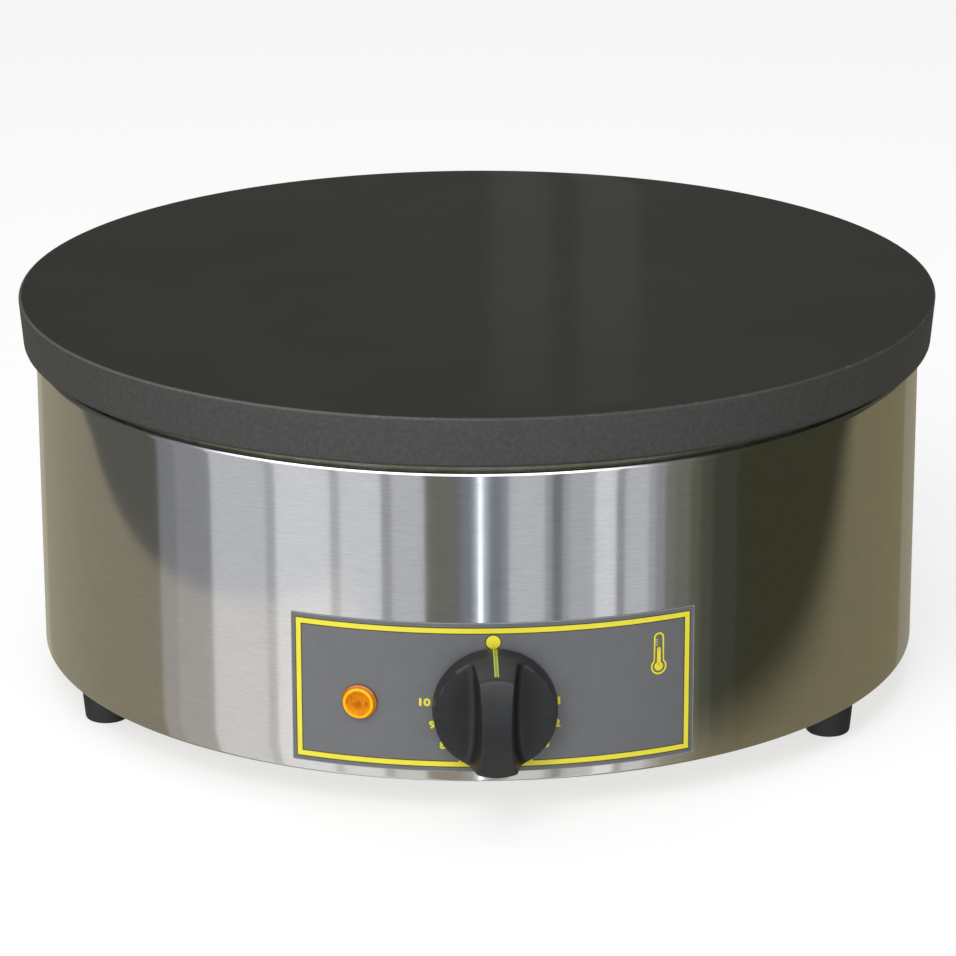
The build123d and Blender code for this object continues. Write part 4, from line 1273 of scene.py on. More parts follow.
@dataclass
class Knob:
    """The thermostat knob: a cone with a crowned end, scooped on both sides of a grip bar.

    Depths are measured from the knob's back along its axis, in millimetres.

    Attributes:
        back: the world's y of the knob's back face.
        axis_z: the height of its axis.
        radius: its radius at the back.
        rim_radius: the radius where the cone starts.
        rim_depth: the depth where the cone starts.
        end_radius: the cone's radius at `end_depth`.
        end_depth: a depth near the knob's end.
        lean: how far the cone's end sinks.
        depth: the depth of the crown's top.
        crown_radius: the radius of the crowned end.
        grip_half_width: half the grip's width at its middle.
        grip_swell: how fast the grip widens to both ends.
        grip_flare: how much wider its lower end is.
        flare_from: where the flare starts, below the axis.
        flare_run: how far it takes to reach its full width.
        grip_draft: the slope of the grip's sides, in degrees.
        grip_root: the round between the grip and a scoop's floor.
        scoop_depth: the depth of a scoop's floor.
        scoop_tilt: how fast the floor comes forward to the top.
        scoop_crown: how softly the floor curves across.
        scoop_middle: the floor's middle, beside the axis.
        edge: how soft the edges are.
        beyond: how far the cone goes on past the crown.
        eye: the depth of the point that the rays leave from.
        pole: the angle left open at both poles, in radians.
        crowding: how much closer the rows stand round the rim.
        rows: the rows of rays from pole to pole.
        columns: the rays round the axis.
        pointer_half_width: half the pointer's width.
        pointer_proud: how far the pointer stands over the surface.
        pointer_sunk: how deep it sits in the knob.
        pointer_start: the ray's angle at its back end, in degrees.
        pointer_end: the ray's angle at its front end, in degrees.
    """

    back: float = LAYOUT.knob_back
    axis_z: float = LAYOUT.axis_z
    radius: float = 25.55
    rim_radius: float = 24.85
    rim_depth: float = 8.6
    end_radius: float = 21.1
    end_depth: float = 22.8
    lean: float = 0.65
    depth: float = 26.4
    crown_radius: float = 64.1
    grip_half_width: float = 6.1
    grip_swell: float = 0.0025
    grip_flare: float = 1.2
    flare_from: float = 10.0
    flare_run: float = 11.0
    grip_draft: float = 5.5
    grip_root: float = 2.2
    scoop_depth: float = 7.6
    scoop_tilt: float = 0.07
    scoop_crown: float = 186.0
    scoop_middle: float = 7.97
    edge: float = 0.4
    beyond: float = 4.0
    eye: float = 4.0
    pole: float = 0.002
    crowding: float = 0.16
    rows: int = 236
    columns: int = 410
    pointer_half_width: float = LAYOUT.pointer_half_width
    pointer_proud: float = 0.12
    pointer_sunk: float = 0.5
    pointer_start: float = 96.0
    pointer_end: float = 51.0

    def place(self) -> Place:
        """Local x to the right, y up and z out of the machine, from the knob's back."""
        return Place((0.0, self.back, self.axis_z), (1.0, 0.0, 0.0), (0.0, 0.0, 1.0), (0.0, -1.0, 0.0))

    @staticmethod
    def soft_max(a: np.ndarray, b: np.ndarray, reach: float) -> np.ndarray:
        """The larger of two fields, with a round of about `reach` where they meet."""
        blend = np.clip(1 - np.abs(a - b) / reach, 0, 1)
        return np.maximum(a, b) + reach * blend**2 / 4

    def field(self, x: np.ndarray, y: np.ndarray, d: np.ndarray) -> np.ndarray:
        """Below zero inside the knob, above zero outside.

        The largest of: distance to the side cone, which leans down a little, depth past the crown,
        depth below the back, and the smaller of depth past a scoop's floor and distance past the
        grip's side. The grip is narrowest in its middle and flares at its lower end.

        Args:
            x: how far the points lie to the right.
            y: how far up.
            d: their depth from the back.

        Returns:
            The field at the points.
        """
        last = self.depth + self.beyond
        run = self.end_depth - self.rim_depth
        tip = self.end_radius - (self.rim_radius - self.end_radius) / run * (last - self.end_depth)
        stations = [-5.0, 0.0, self.rim_depth, self.end_depth, last]
        widths = [self.radius, self.radius, self.rim_radius, self.end_radius, tip]
        low_by = self.lean * np.clip((d - self.rim_depth) / run, 0, 1.3)
        side = np.hypot(x, y + low_by) - np.interp(d, stations, widths)
        dome = np.sqrt(np.maximum(self.crown_radius**2 - y**2, 1.0))
        crown = d - (self.depth - (self.crown_radius - dome))
        off = np.abs(x) - self.scoop_middle
        floor = self.scoop_depth + self.scoop_tilt * y + off**2 * np.sign(off) / self.scoop_crown
        waist = self.grip_half_width + self.grip_swell * y**2
        flare = self.grip_flare * np.clip((-y - self.flare_from) / self.flare_run, 0, 1) ** 2
        wall = waist + flare + (self.depth - d) * math.tan(math.radians(self.grip_draft))
        scoop = -self.soft_max(-(d - floor), -(np.abs(x) - wall), self.grip_root * 1.6)
        whole = self.soft_max(side, crown, self.edge * 2.2)
        whole = self.soft_max(whole, scoop, self.edge * 2.2)
        return self.soft_max(whole, -d, 0.9)

    def reach(self, origin: np.ndarray, direction: np.ndarray) -> np.ndarray:
        """How far each ray goes before it leaves the knob, found by halving a span 30 times.

        Args:
            origin: where the rays start.
            direction: their directions, one for each ray.

        Returns:
            Each ray's length inside the knob.
        """
        low = np.zeros(direction.shape[:-1])
        high = np.full(direction.shape[:-1], 40.0)
        for _ in range(30):
            middle = (low + high) / 2
            x, y, d = np.moveaxis(origin + direction * middle[..., None], -1, 0)
            inside = self.field(x, y, d) < 0
            low, high = np.where(inside, middle, low), np.where(inside, high, middle)
        return (low + high) / 2

    def skin(self) -> Sheet:
        """The knob's surface: rays from a point on its axis near its back, over a whole sphere.

        Returns:
            The knob's sheet.
        """
        tilt = np.linspace(self.pole, math.pi - self.pole, self.rows)[:, None]
        tilt = tilt - self.crowding * np.sin(2 * tilt)
        turn = full_turn(self.columns)[None]
        direction = np.stack(
            [np.sin(tilt) * np.cos(turn), np.sin(tilt) * np.sin(turn), np.cos(tilt) + 0 * turn], axis=-1
        )
        origin = np.array([0.0, 0.0, self.eye])
        return Sheet(self.place().carry(origin + direction * self.reach(origin, direction)[..., None]))

    def pointer(self) -> Sheet:
        """The pointer: a flat bar up the knob's cone, from its back edge to just under the crown.

        Its section is a rectangle whose outer side stands a little over the surface, carried
        along the surface's upper ridge.

        Returns:
            The pointer's sheet.
        """
        tilt = np.radians(np.linspace(self.pointer_start, self.pointer_end, 60))
        across = np.array([-1.0, -0.8, 0.8, 1.0, 0.8, -0.8]) * self.pointer_half_width
        lift = np.array([0.0, 1.0, 1.0, 0.0, -1.0, -1.0])
        direction = np.stack([0 * tilt, np.sin(tilt), np.cos(tilt)], axis=-1)
        origin = np.array([0.0, 0.0, self.eye])
        ridge = origin + direction * self.reach(origin, direction)[:, None]
        along = np.gradient(ridge, axis=0)
        normal = np.stack([0 * tilt, along[:, 2], -along[:, 1]], axis=-1)
        normal *= np.sign(normal[:, 1:2]) / np.linalg.norm(normal, axis=1, keepdims=True)
        height = np.where(lift > 0, self.pointer_proud, np.where(lift < 0, -self.pointer_sunk, 0.0))
        points = ridge[:, None] + normal[:, None] * height[None, :, None]
        points = points + np.array([1.0, 0, 0]) * across[None, :, None]
        return Sheet(self.place().carry(points))

    def build(self, finishes: Finishes) -> None:
        """Makes the knob and its pointer; both turn with the spindle.

        Args:
            finishes: every finish of the machine.
        """
        knob = piece("thermostat_grip_knob", [self.skin()], "knob", 50.0)
        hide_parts("control_knob")
        finishes.thermoset.dress(knob)
        pointer = piece("pointer_bar", [self.pointer()], "knob")
        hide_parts("knob_pointer")
        finishes.pointer.dress(pointer)


@dataclass
class ControlLabel:
    """The curved grey label with its printed frame, dial and thermometer."""

    radius: float = LAYOUT.face_radius
    film: float = LAYOUT.label_film
    half_angle: float = 25.1
    low: float = LAYOUT.label_low
    high: float = LAYOUT.label_high
    axis_z: float = LAYOUT.axis_z
    ink: float = 0.05
    edge_highlight_width: float = 0.25
    border_inset: float = 2.2
    border_width: float = 2.1
    border_keyline: float = 0.4
    dial_drop: float = 1.2
    cap_share: float = 0.72
    digit_height: float = 3.1
    digit_weight: float = 0.19
    digit_ring: float = 26.3
    digit_width: float = 2.8
    digit_stretch: float = 1.25
    ten_stretch: float = 1.28
    ten_shift: float = 1.25
    first_digit: float = 84.1
    digit_step: float = 21.3
    dot_radius: float = 2.9
    dot_ring: float = 27.6
    dot_shift: float = -0.55
    gauge_bearing: float = 20.35
    gauge_top: float = 74.4
    gauge_bulb: float = 59.7
    gauge_tube: float = 2.3
    gauge_bulb_radius: float = 3.5
    gauge_filled_radius: float = 1.95
    gauge_column: float = 0.85
    gauge_empty: float = 7.2
    gauge_line_width: float = 0.78
    gauge_keyline: float = 0.16
    tick_start: float = 3.0
    tick_pitch: float = 0.8
    tick_end: float = 0.35

    @property
    def gauge_x(self) -> float:
        """The thermometer's place along the drum's wall."""
        return math.radians(self.gauge_bearing) * self.radius

    @property
    def half_width(self) -> float:
        """Half the label's width along the drum."""
        return math.radians(self.half_angle) * self.radius

    def wrap(self, flat: np.ndarray) -> np.ndarray:
        """Rolls flat points round the drum: x goes along the wall, y is the height, z stands off it.

        Args:
            flat: points as (along the wall, height, stand-off).

        Returns:
            The points on the drum.
        """
        turn = flat[..., 0] / self.radius
        radius = self.radius + flat[..., 2]
        return np.stack([radius * np.sin(turn), -radius * np.cos(turn), flat[..., 1]], axis=-1)

    def slab(self, corners: Corners, low: float, high: float, step: float = 2.0) -> Sheet:
        """A thin closed rectangle (left, bottom, right, top): sections of four points along x.

        Args:
            corners: left, bottom, right and top.
            low: the stand-off of its back.
            high: the stand-off of its face.
            step: the distance between sections.

        Returns:
            The slab.
        """
        left, bottom, right, top = corners
        x = np.linspace(left, right, max(3, int((right - left) / step)))
        section = np.array([(bottom, low), (bottom, high), (top, high), (top, low)])
        flat = np.zeros((len(x), len(section), 3))
        flat[..., 0] = x[:, None]
        flat[..., 1:] = section[None]
        return Sheet(self.wrap(flat))

    def frame_line(self, inset: float, width: float, height: float) -> Sheet:
        """A closed rectangular line: its section of four points is carried round the label's edge.

        Args:
            inset: how far it lies inside the label's edge.
            width: its width.
            height: how far it stands off.

        Returns:
            The closed line.
        """
        across = np.array([inset, inset, inset + width, inset + width])
        lift = np.array([0.0, height, height, 0.0])
        wide_steps, tall_steps = 90, 8
        share = np.linspace(0, 1, wide_steps, endpoint=False)
        climb = np.linspace(-1, 1, tall_steps, endpoint=False)
        side = np.concatenate([share * 2 - 1, np.ones(tall_steps), 1 - share * 2, -np.ones(tall_steps)])
        rise = np.concatenate([-np.ones(wide_steps), climb, np.ones(wide_steps), -climb])
        middle = (self.low + self.high) / 2
        tall = (self.high - self.low) / 2
        x = side[:, None] * (self.half_width - across[None])
        z = middle + rise[:, None] * (tall - across[None])
        return Sheet(self.wrap(np.stack([x, z, lift[None] + 0 * x], axis=-1)), rows_close=True)

    def disc(self, x: float, z: float, radius: float, height: float) -> Sheet:
        """A thin disc with a soft edge.

        Args:
            x: its middle along the wall.
            z: its middle's height.
            radius: its radius.
            height: how far it stands off.

        Returns:
            The disc.
        """
        turn = full_turn(48)
        pole, soft = 0.02, radius * 0.97
        section = [(pole, 0.0), (radius, 0.0), (radius, height * 0.6), (soft, height), (pole, height)]
        rows = np.array(section)
        flat_x = x + rows[:, :1] * np.cos(turn)
        flat_z = z + rows[:, :1] * np.sin(turn)
        return Sheet(self.wrap(np.stack([flat_x, flat_z, rows[:, 1:] + 0 * turn], axis=-1)))

    def figure(self, number: int) -> tuple[np.ndarray, list[tuple[int, ...]]]:
        """A figure of the dial: text made a mesh, stretched, put on the ring and rolled round.

        Args:
            number: the figure, 1 to 10.

        Returns:
            Its points on the label and its faces.
        """
        curve = bpy.data.curves.new(f"figure_{number}", "FONT")
        curve.body = str(number)
        curve.align_x, curve.align_y = "CENTER", "CENTER"
        curve.size = self.digit_height / self.cap_share
        curve.offset = self.digit_weight
        curve.extrude = self.ink / 2
        curve.resolution_u = 4
        text = bpy.data.objects.new(curve.name, curve)
        bpy.context.scene.collection.objects.link(text)
        bpy.context.view_layer.update()
        mesh = bpy.data.meshes.new_from_object(text.evaluated_get(bpy.context.evaluated_depsgraph_get()))
        points = np.zeros(len(mesh.vertices) * 3)
        mesh.vertices.foreach_get("co", points)
        faces = [tuple(polygon.vertices) for polygon in mesh.polygons]
        bpy.data.objects.remove(text)
        bpy.data.meshes.remove(mesh)
        bpy.data.curves.remove(curve)
        stretch = self.ten_stretch if number == 10 else self.digit_stretch
        points = points.reshape(-1, 3) * (stretch, 1.0, 1.0)
        turn = math.radians(self.first_digit + self.digit_step * (number - 1))
        centre = (points[:, :2].min(0) + points[:, :2].max(0)) / 2
        wide = float(np.ptp(points[:, 0]))
        outward = math.copysign(max(0.0, wide - self.digit_width) / 2, math.sin(turn))
        outward -= self.ten_shift if number == 10 else 0.0
        points[:, 0] += self.digit_ring * math.sin(turn) + outward - centre[0]
        points[:, 1] += self.axis_z - self.dial_drop + self.digit_ring * math.cos(turn) - centre[1]
        points[:, 2] += self.ink / 2
        return self.wrap(points), faces

    def figures(self) -> bpy.types.Object:
        """The dial's figures 1 to 10 as one object.

        Returns:
            The object.
        """
        rows: list[np.ndarray] = []
        faces: list[tuple[int, ...]] = []
        count = 0
        for number in range(1, 11):
            points, own = self.figure(number)
            faces += [tuple(v + count for v in face) for face in own]
            rows.append(points)
            count += len(points)
        mesh = bpy.data.meshes.new("dial_figures")
        mesh.from_pydata((np.vstack(rows) * MM).tolist(), [], faces)
        mesh.validate()
        return placed(mesh, "housing")

    def printed(self, finish: Finish, name: str, sheets: list[Sheet]) -> None:
        """Makes one mark on the label's face, a print or the painted edge highlight, and inks it."""
        finish.dress(piece(name, sheets, "housing"))

    def build(self, finishes: Finishes) -> None:
        """Makes the film, a painted highlight along its edge, its frame, the dial's figures and dot, and
        the thermometer.

        Args:
            finishes: every finish of the machine.
        """
        half = self.half_width
        slab = self.slab((-half, self.low, half, self.high), -self.film, 0.0)
        film = piece("label_film", [slab], "housing")
        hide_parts("control_label")
        finishes.label.dress(film)
        # painted highlight: a pale line round the film's edge, laid on like print
        edge = self.frame_line(0.0, self.edge_highlight_width, self.ink)
        self.printed(finishes.label_edge, "film_edge_highlight_line", [edge])
        band = self.frame_line(self.border_inset, self.border_width, self.ink)
        self.printed(finishes.yellow, "frame_band", [band])
        starts = (self.border_inset - self.border_keyline, self.border_inset + self.border_width)
        keylines = [self.frame_line(start, self.border_keyline, self.ink * 0.7) for start in starts]
        self.printed(finishes.olive, "frame_keylines", keylines)
        x, z = self.dot_shift, self.axis_z + self.dot_ring
        self.printed(finishes.yellow, "zero_dot", [self.disc(x, z, self.dot_radius, self.ink)])
        rim = self.disc(x, z, self.dot_radius + self.border_keyline, self.ink * 0.6)
        self.printed(finishes.olive, "zero_dot_keyline", [rim])
        finishes.yellow.dress(self.figures())
        self.thermometer(finishes)

    def gauge_line(self, start: float, end: float, height: float) -> Sheet:
        """The thermometer's outline: an arc round the bulb and one round the tube's top.

        Args:
            start: how far inside the outer edge the line starts.
            end: how far inside it ends.
            height: how far the line stands off the film.

        Returns:
            The closed line.
        """
        x, tube, bulb = self.gauge_x, self.gauge_tube, self.gauge_bulb_radius
        opening = math.asin(tube / bulb)
        round_bulb, round_top = 60, 28
        turn = np.concatenate([
            np.linspace(math.pi / 2 + opening, 2.5 * math.pi - opening, round_bulb),
            np.linspace(0.0, math.pi, round_top),
        ])
        centre = np.repeat([self.gauge_bulb, self.gauge_top - tube], [round_bulb, round_top])
        reach = np.repeat([bulb, tube], [round_bulb, round_top])
        across = np.array([start, start, end, end])
        lift = np.array([0.0, height, height, 0.0])
        wide = reach[:, None] - across[None]
        flat_x = x + wide * np.cos(turn)[:, None]
        flat_z = centre[:, None] + wide * np.sin(turn)[:, None]
        return Sheet(
            self.wrap(np.stack([flat_x, flat_z, lift[None] + 0 * flat_x], axis=-1)), rows_close=True
        )

    def gauge_fill(self, grow: float, height: float) -> list[Sheet]:
        """The filled bulb and its column with a round top, all wider by `grow`.

        Args:
            grow: how much wider than the filled part.
            height: how far it stands off.

        Returns:
            The bulb, the column and its round top.
        """
        x, z, top = self.gauge_x, self.gauge_bulb, self.gauge_top - self.gauge_empty
        half = self.gauge_column + grow
        return [
            self.disc(x, z, self.gauge_filled_radius + grow, height),
            self.slab((x - half, z, x + half, top), 0.0, height, 0.5),
            self.disc(x, top, half, height),
        ]

    def thermometer(self, finishes: Finishes) -> None:
        """The thermometer sign: outline, filled bulb and column with dark keylines, and four ticks.

        Args:
            finishes: every finish of the machine.
        """
        line, key = self.gauge_line_width, self.gauge_keyline
        sheets = [self.gauge_line(0.0, line, self.ink), *self.gauge_fill(0.0, self.ink)]
        self.printed(finishes.yellow, "thermometer_sign", sheets)
        dark = [self.gauge_line(-key, line + key, self.ink * 0.6), *self.gauge_fill(key, self.ink * 0.6)]
        self.printed(finishes.olive, "thermometer_keylines", dark)
        left, right = self.gauge_x - self.gauge_tube + line, self.gauge_x - self.tick_end
        heights = [self.gauge_top - self.tick_start - self.tick_pitch * step for step in range(4)]
        half = self.tick_pitch / 4
        ticks = [self.slab((left, z - half, right, z + half), 0.0, self.ink, 0.4) for z in heights]
        self.printed(finishes.green, "thermometer_ticks", ticks)


@dataclass
class PilotLamp:
    """The amber pilot lamp: a thin flange, a round lens ring and a faceted, dished middle."""

    flange_radius: float = 7.5
    flange_height: float = 1.0
    lens_radius: float = LAYOUT.lens_radius
    lens_height: float = 2.8
    dish_radius: float = LAYOUT.dish_radius
    dish_depth: float = 1.1
    facets: int = 10
    facet_depth: float = 0.14

    def lens(self) -> Sheet:
        """The lens: its outline is turned about its axis, and inside the dish the height waves.

        Within the dish the height gets facet depth x (|sin(facets x angle / 2)| - 1/2) x
        sin(pi radius / dish radius), which leaves a soft ridge between each two facets.

        Returns:
            The lens's sheet.
        """
        corners = [
            (0.05, -0.4),
            (self.flange_radius - 0.4, -0.4),
            (self.flange_radius, 0.1),
            (self.flange_radius - 0.1, self.flange_height - 0.35),
            (self.lens_radius + 0.1, self.flange_height + 0.15),
            (self.lens_radius, self.lens_height),
            (self.dish_radius, self.lens_height - 0.1),
            (self.dish_radius - 1.6, self.lens_height - self.dish_depth * 0.8),
            (0.05, self.lens_height - self.dish_depth),
        ]
        radii = [0.1, 0.2, 0.15, 0.05, 0.5, 0.3, 1.5]
        outline = divided(rounded_outline(corners, radii, 6), 0.4)
        turns = full_turn(240)
        sheet = revolved(outline, turns)
        radius = np.hypot(sheet.points[..., 0], sheet.points[..., 1])
        top = sheet.points[..., 2] > self.flange_height + 0.5
        inside = top & (radius < self.dish_radius - 0.2)
        wave = np.abs(np.sin(self.facets * turns / 2))[None] - 0.5
        swell = np.sin(np.pi * np.clip(radius / self.dish_radius, 0, 1))
        sheet.points[..., 2] += np.where(inside, self.facet_depth * wave * swell, 0)
        return Sheet(LAYOUT.lamp_place().carry(sheet.points))

    def build(self, finishes: Finishes) -> None:
        """Makes the lens with its flange.

        Args:
            finishes: every finish of the machine.
        """
        lens = piece("pilot_lens", [self.lens()], "housing", 24.0)
        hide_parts("pilot_lamp_lens")
        finishes.amber.dress(lens)


@dataclass
class Feet:
    """Three tapered rubber feet, each hollow where its bolt's head sits."""

    ring: float = 179.3
    bearings: tuple[float, ...] = (-65.4, 54.6, 174.6)
    height: float = LAYOUT.foot_height
    top_radius: float = 10.7
    sole_radius: float = 9.3
    bore: float = 2.6
    recess_radius: float = 5.4
    recess_depth: float = 7.0

    def foot(self, bearing: float) -> Sheet:
        """One foot: its outline from the top's middle down the taper, round the sole, up the recess.

        Args:
            bearing: the foot's bearing, in degrees.

        Returns:
            The foot.
        """
        corners = [
            (self.bore, self.height),
            (self.top_radius, self.height),
            (self.sole_radius, 0.0),
            (self.recess_radius, 0.0),
            (self.recess_radius, self.recess_depth),
            (self.bore, self.recess_depth),
        ]
        outline = divided(rounded_outline(corners, [0.8, 1.6, 0.5, 0.5], 6), 1.5)
        return revolved(outline, full_turn(72), Place.upright(self.ring, bearing, 0.0))

    def build(self, finishes: Finishes) -> None:
        """Makes the three feet as one piece of the housing; each bore's wall joins both ends.

        Args:
            finishes: every finish of the machine.
        """
        sheets = [self.foot(bearing) for bearing in self.bearings]
        for sheet in sheets:
            sheet.rows_close, sheet.caps = True, False
        feet = piece("tapered_feet", sheets, "housing")
        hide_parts("rubber_feet")
        finishes.rubber.dress(feet)


@dataclass
class Gland:
    """The cable gland at the rear: a hexagonal collar and a domed nut, chamfered by turning."""

    wall: float = LAYOUT.drum_radius
    axis_z: float = LAYOUT.foot_height + LAYOUT.gland_rise
    flats: float = 24.0
    collar: float = 5.0
    tail: float = 12.0
    thread_radius: float = 10.0
    neck_radius: float = 9.2
    neck_length: float = 13.0
    socket_radius: float = 7.6
    seal_length: float = 10.0
    bore: float = 5.6
    nut_gap: float = 0.3
    thread_gap: float = 0.05
    nut_hex: float = 14.0
    nut_length: float = 26.0
    nut_end_radius: float = 8.6

    def place(self) -> Place:
        """The gland's frame on the drum's wall, z away from the drum."""
        return Place.on_wall(self.wall, 180.0, self.axis_z)

    def hexagonal(self, outline: np.ndarray, hex_from: float, hex_to: float, columns: int = 180) -> Sheet:
        """A turned outline that is cut to a hexagon between two heights.

        At angle t a hexagon of half width f reaches f / cos(t - nearest flat's middle); the
        radius is the smaller of this and the turned radius.

        Args:
            outline: radius and height, one pair a row.
            hex_from: the height where the hexagon starts.
            hex_to: the height where it ends.
            columns: how many angles the sheet has.

        Returns:
            The cut sheet.
        """
        turns = full_turn(columns)
        off = (turns + math.pi / 6) % (math.pi / 3) - math.pi / 6
        hexagon = (self.flats / 2) / np.cos(off)
        sheet = revolved(outline, turns)
        radius = np.hypot(sheet.points[..., 0], sheet.points[..., 1])
        height = sheet.points[..., 2]
        cut = (height >= hex_from - 1e-6) & (height <= hex_to + 1e-6) & (radius > self.flats / 2)
        factor = np.where(cut, np.minimum(radius, hexagon[None]) / radius, 1.0)
        sheet.points[..., 0] *= factor
        sheet.points[..., 1] *= factor
        return Sheet(self.place().carry(sheet.points), rows_close=True, caps=False)

    @property
    def corner(self) -> float:
        """How far a corner of the hexagon stands from the axis."""
        return self.flats / 2 / math.cos(math.pi / 6)

    def body(self) -> Sheet:
        """The body: thread inside the drum, collar, neck, and the socket that holds the seal.

        Returns:
            The body's sheet.
        """
        end = self.collar + self.neck_length
        floor = end - self.seal_length
        corners = [
            (self.bore, -self.tail),
            (self.thread_radius, -self.tail),
            (self.thread_radius, 0.0),
            (self.corner, 0.0),
            (self.corner, self.collar),
            (self.neck_radius, self.collar),
            (self.neck_radius, end),
            (self.socket_radius, end),
            (self.socket_radius, floor),
            (self.bore, floor),
            (self.bore, -self.tail),
        ]
        radii = [0.6, 0.0, 0.8, 1.6, 0.0, 0.3, 0.2, 0.0, 0.3]
        outline = divided(rounded_outline(corners, radii, 5), 2.0)[:-1]
        return self.hexagonal(outline, 0.0, self.collar)

    def nut(self) -> Sheet:
        """The dome nut: hexagonal below, a shoulder, then a dome down to the cable's hole.

        Returns:
            The nut's sheet.
        """
        start = self.collar + self.nut_gap
        neck_end = self.collar + self.neck_length + self.thread_gap
        thread = self.neck_radius + self.thread_gap
        shoulder = self.nut_hex + 1.1
        corners = [
            (thread, start),
            (self.corner, start),
            (self.corner, self.nut_hex + 0.4),
            (self.flats / 2 - 0.1, shoulder),
            (self.flats / 2 - 0.6, self.nut_hex + 4.0),
            (self.nut_end_radius, self.nut_length),
            (self.bore, self.nut_length),
            (self.bore, neck_end),
            (thread, neck_end),
            (thread, start),
        ]
        radii = [1.2, 1.0, 0.4, 3.0, 1.2, 1.0, 0.0, 0.0]
        outline = divided(rounded_outline(corners, radii, 6), 1.5)[:-1]
        return self.hexagonal(outline, start, shoulder)

    def build(self, finishes: Finishes) -> None:
        """Makes the gland's body and nut.

        Args:
            finishes: every finish of the machine.
        """
        made = (("gland_collar", "gland_body", self.body()), ("gland_dome_nut", "gland_nut", self.nut()))
        for name, node, sheet in made:
            thing = piece(name, [sheet], "housing", 40.0)
            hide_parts(node)
            finishes.nylon.dress(thing)


# ------------------------------------------------------------------ studio
@dataclass(frozen=True)
class Screen:
    """An upright screen or opening round the machine, as polished metal shows it.

    Attributes:
        start: its first bearing, in degrees.
        end: its last bearing, in degrees.
        level: its brightness.
        tint: its colour.
    """

    start: float
    end: float
    level: float
    tint: Colour = (0.985, 1.0, 1.055)


WARM = (1.0, 1.0, 0.88)
COOL = (0.90, 1.0, 1.14)
DUSK = (1.0, 1.02, 0.74)


@dataclass(frozen=True)
class SoftBox:
    """A square lamp aimed at the machine, which polished surfaces don't show.

    Attributes:
        name: the lamp's name.
        spot: its place, in metres.
        size: its side, in metres.
        power: its power, in watts.
    """

    name: str
    spot: tuple[float, float, float]
    size: float
    power: float


def grey(level: float) -> Colour:
    """The grey of a level."""
    return (level, level, level)


def stance(side: np.ndarray, up: np.ndarray, out: np.ndarray, spot: np.ndarray) -> Matrix:
    """The matrix of something at a spot whose local x, y and z run along side, up and out.

    Args:
        side: the way of local x.
        up: the way of local y.
        out: the way of local z.
        spot: the place, in metres.

    Returns:
        The matrix.
    """
    rows = np.eye(4)
    rows[:3] = np.stack([side, up, out, spot], axis=1)
    return Matrix(rows.tolist())


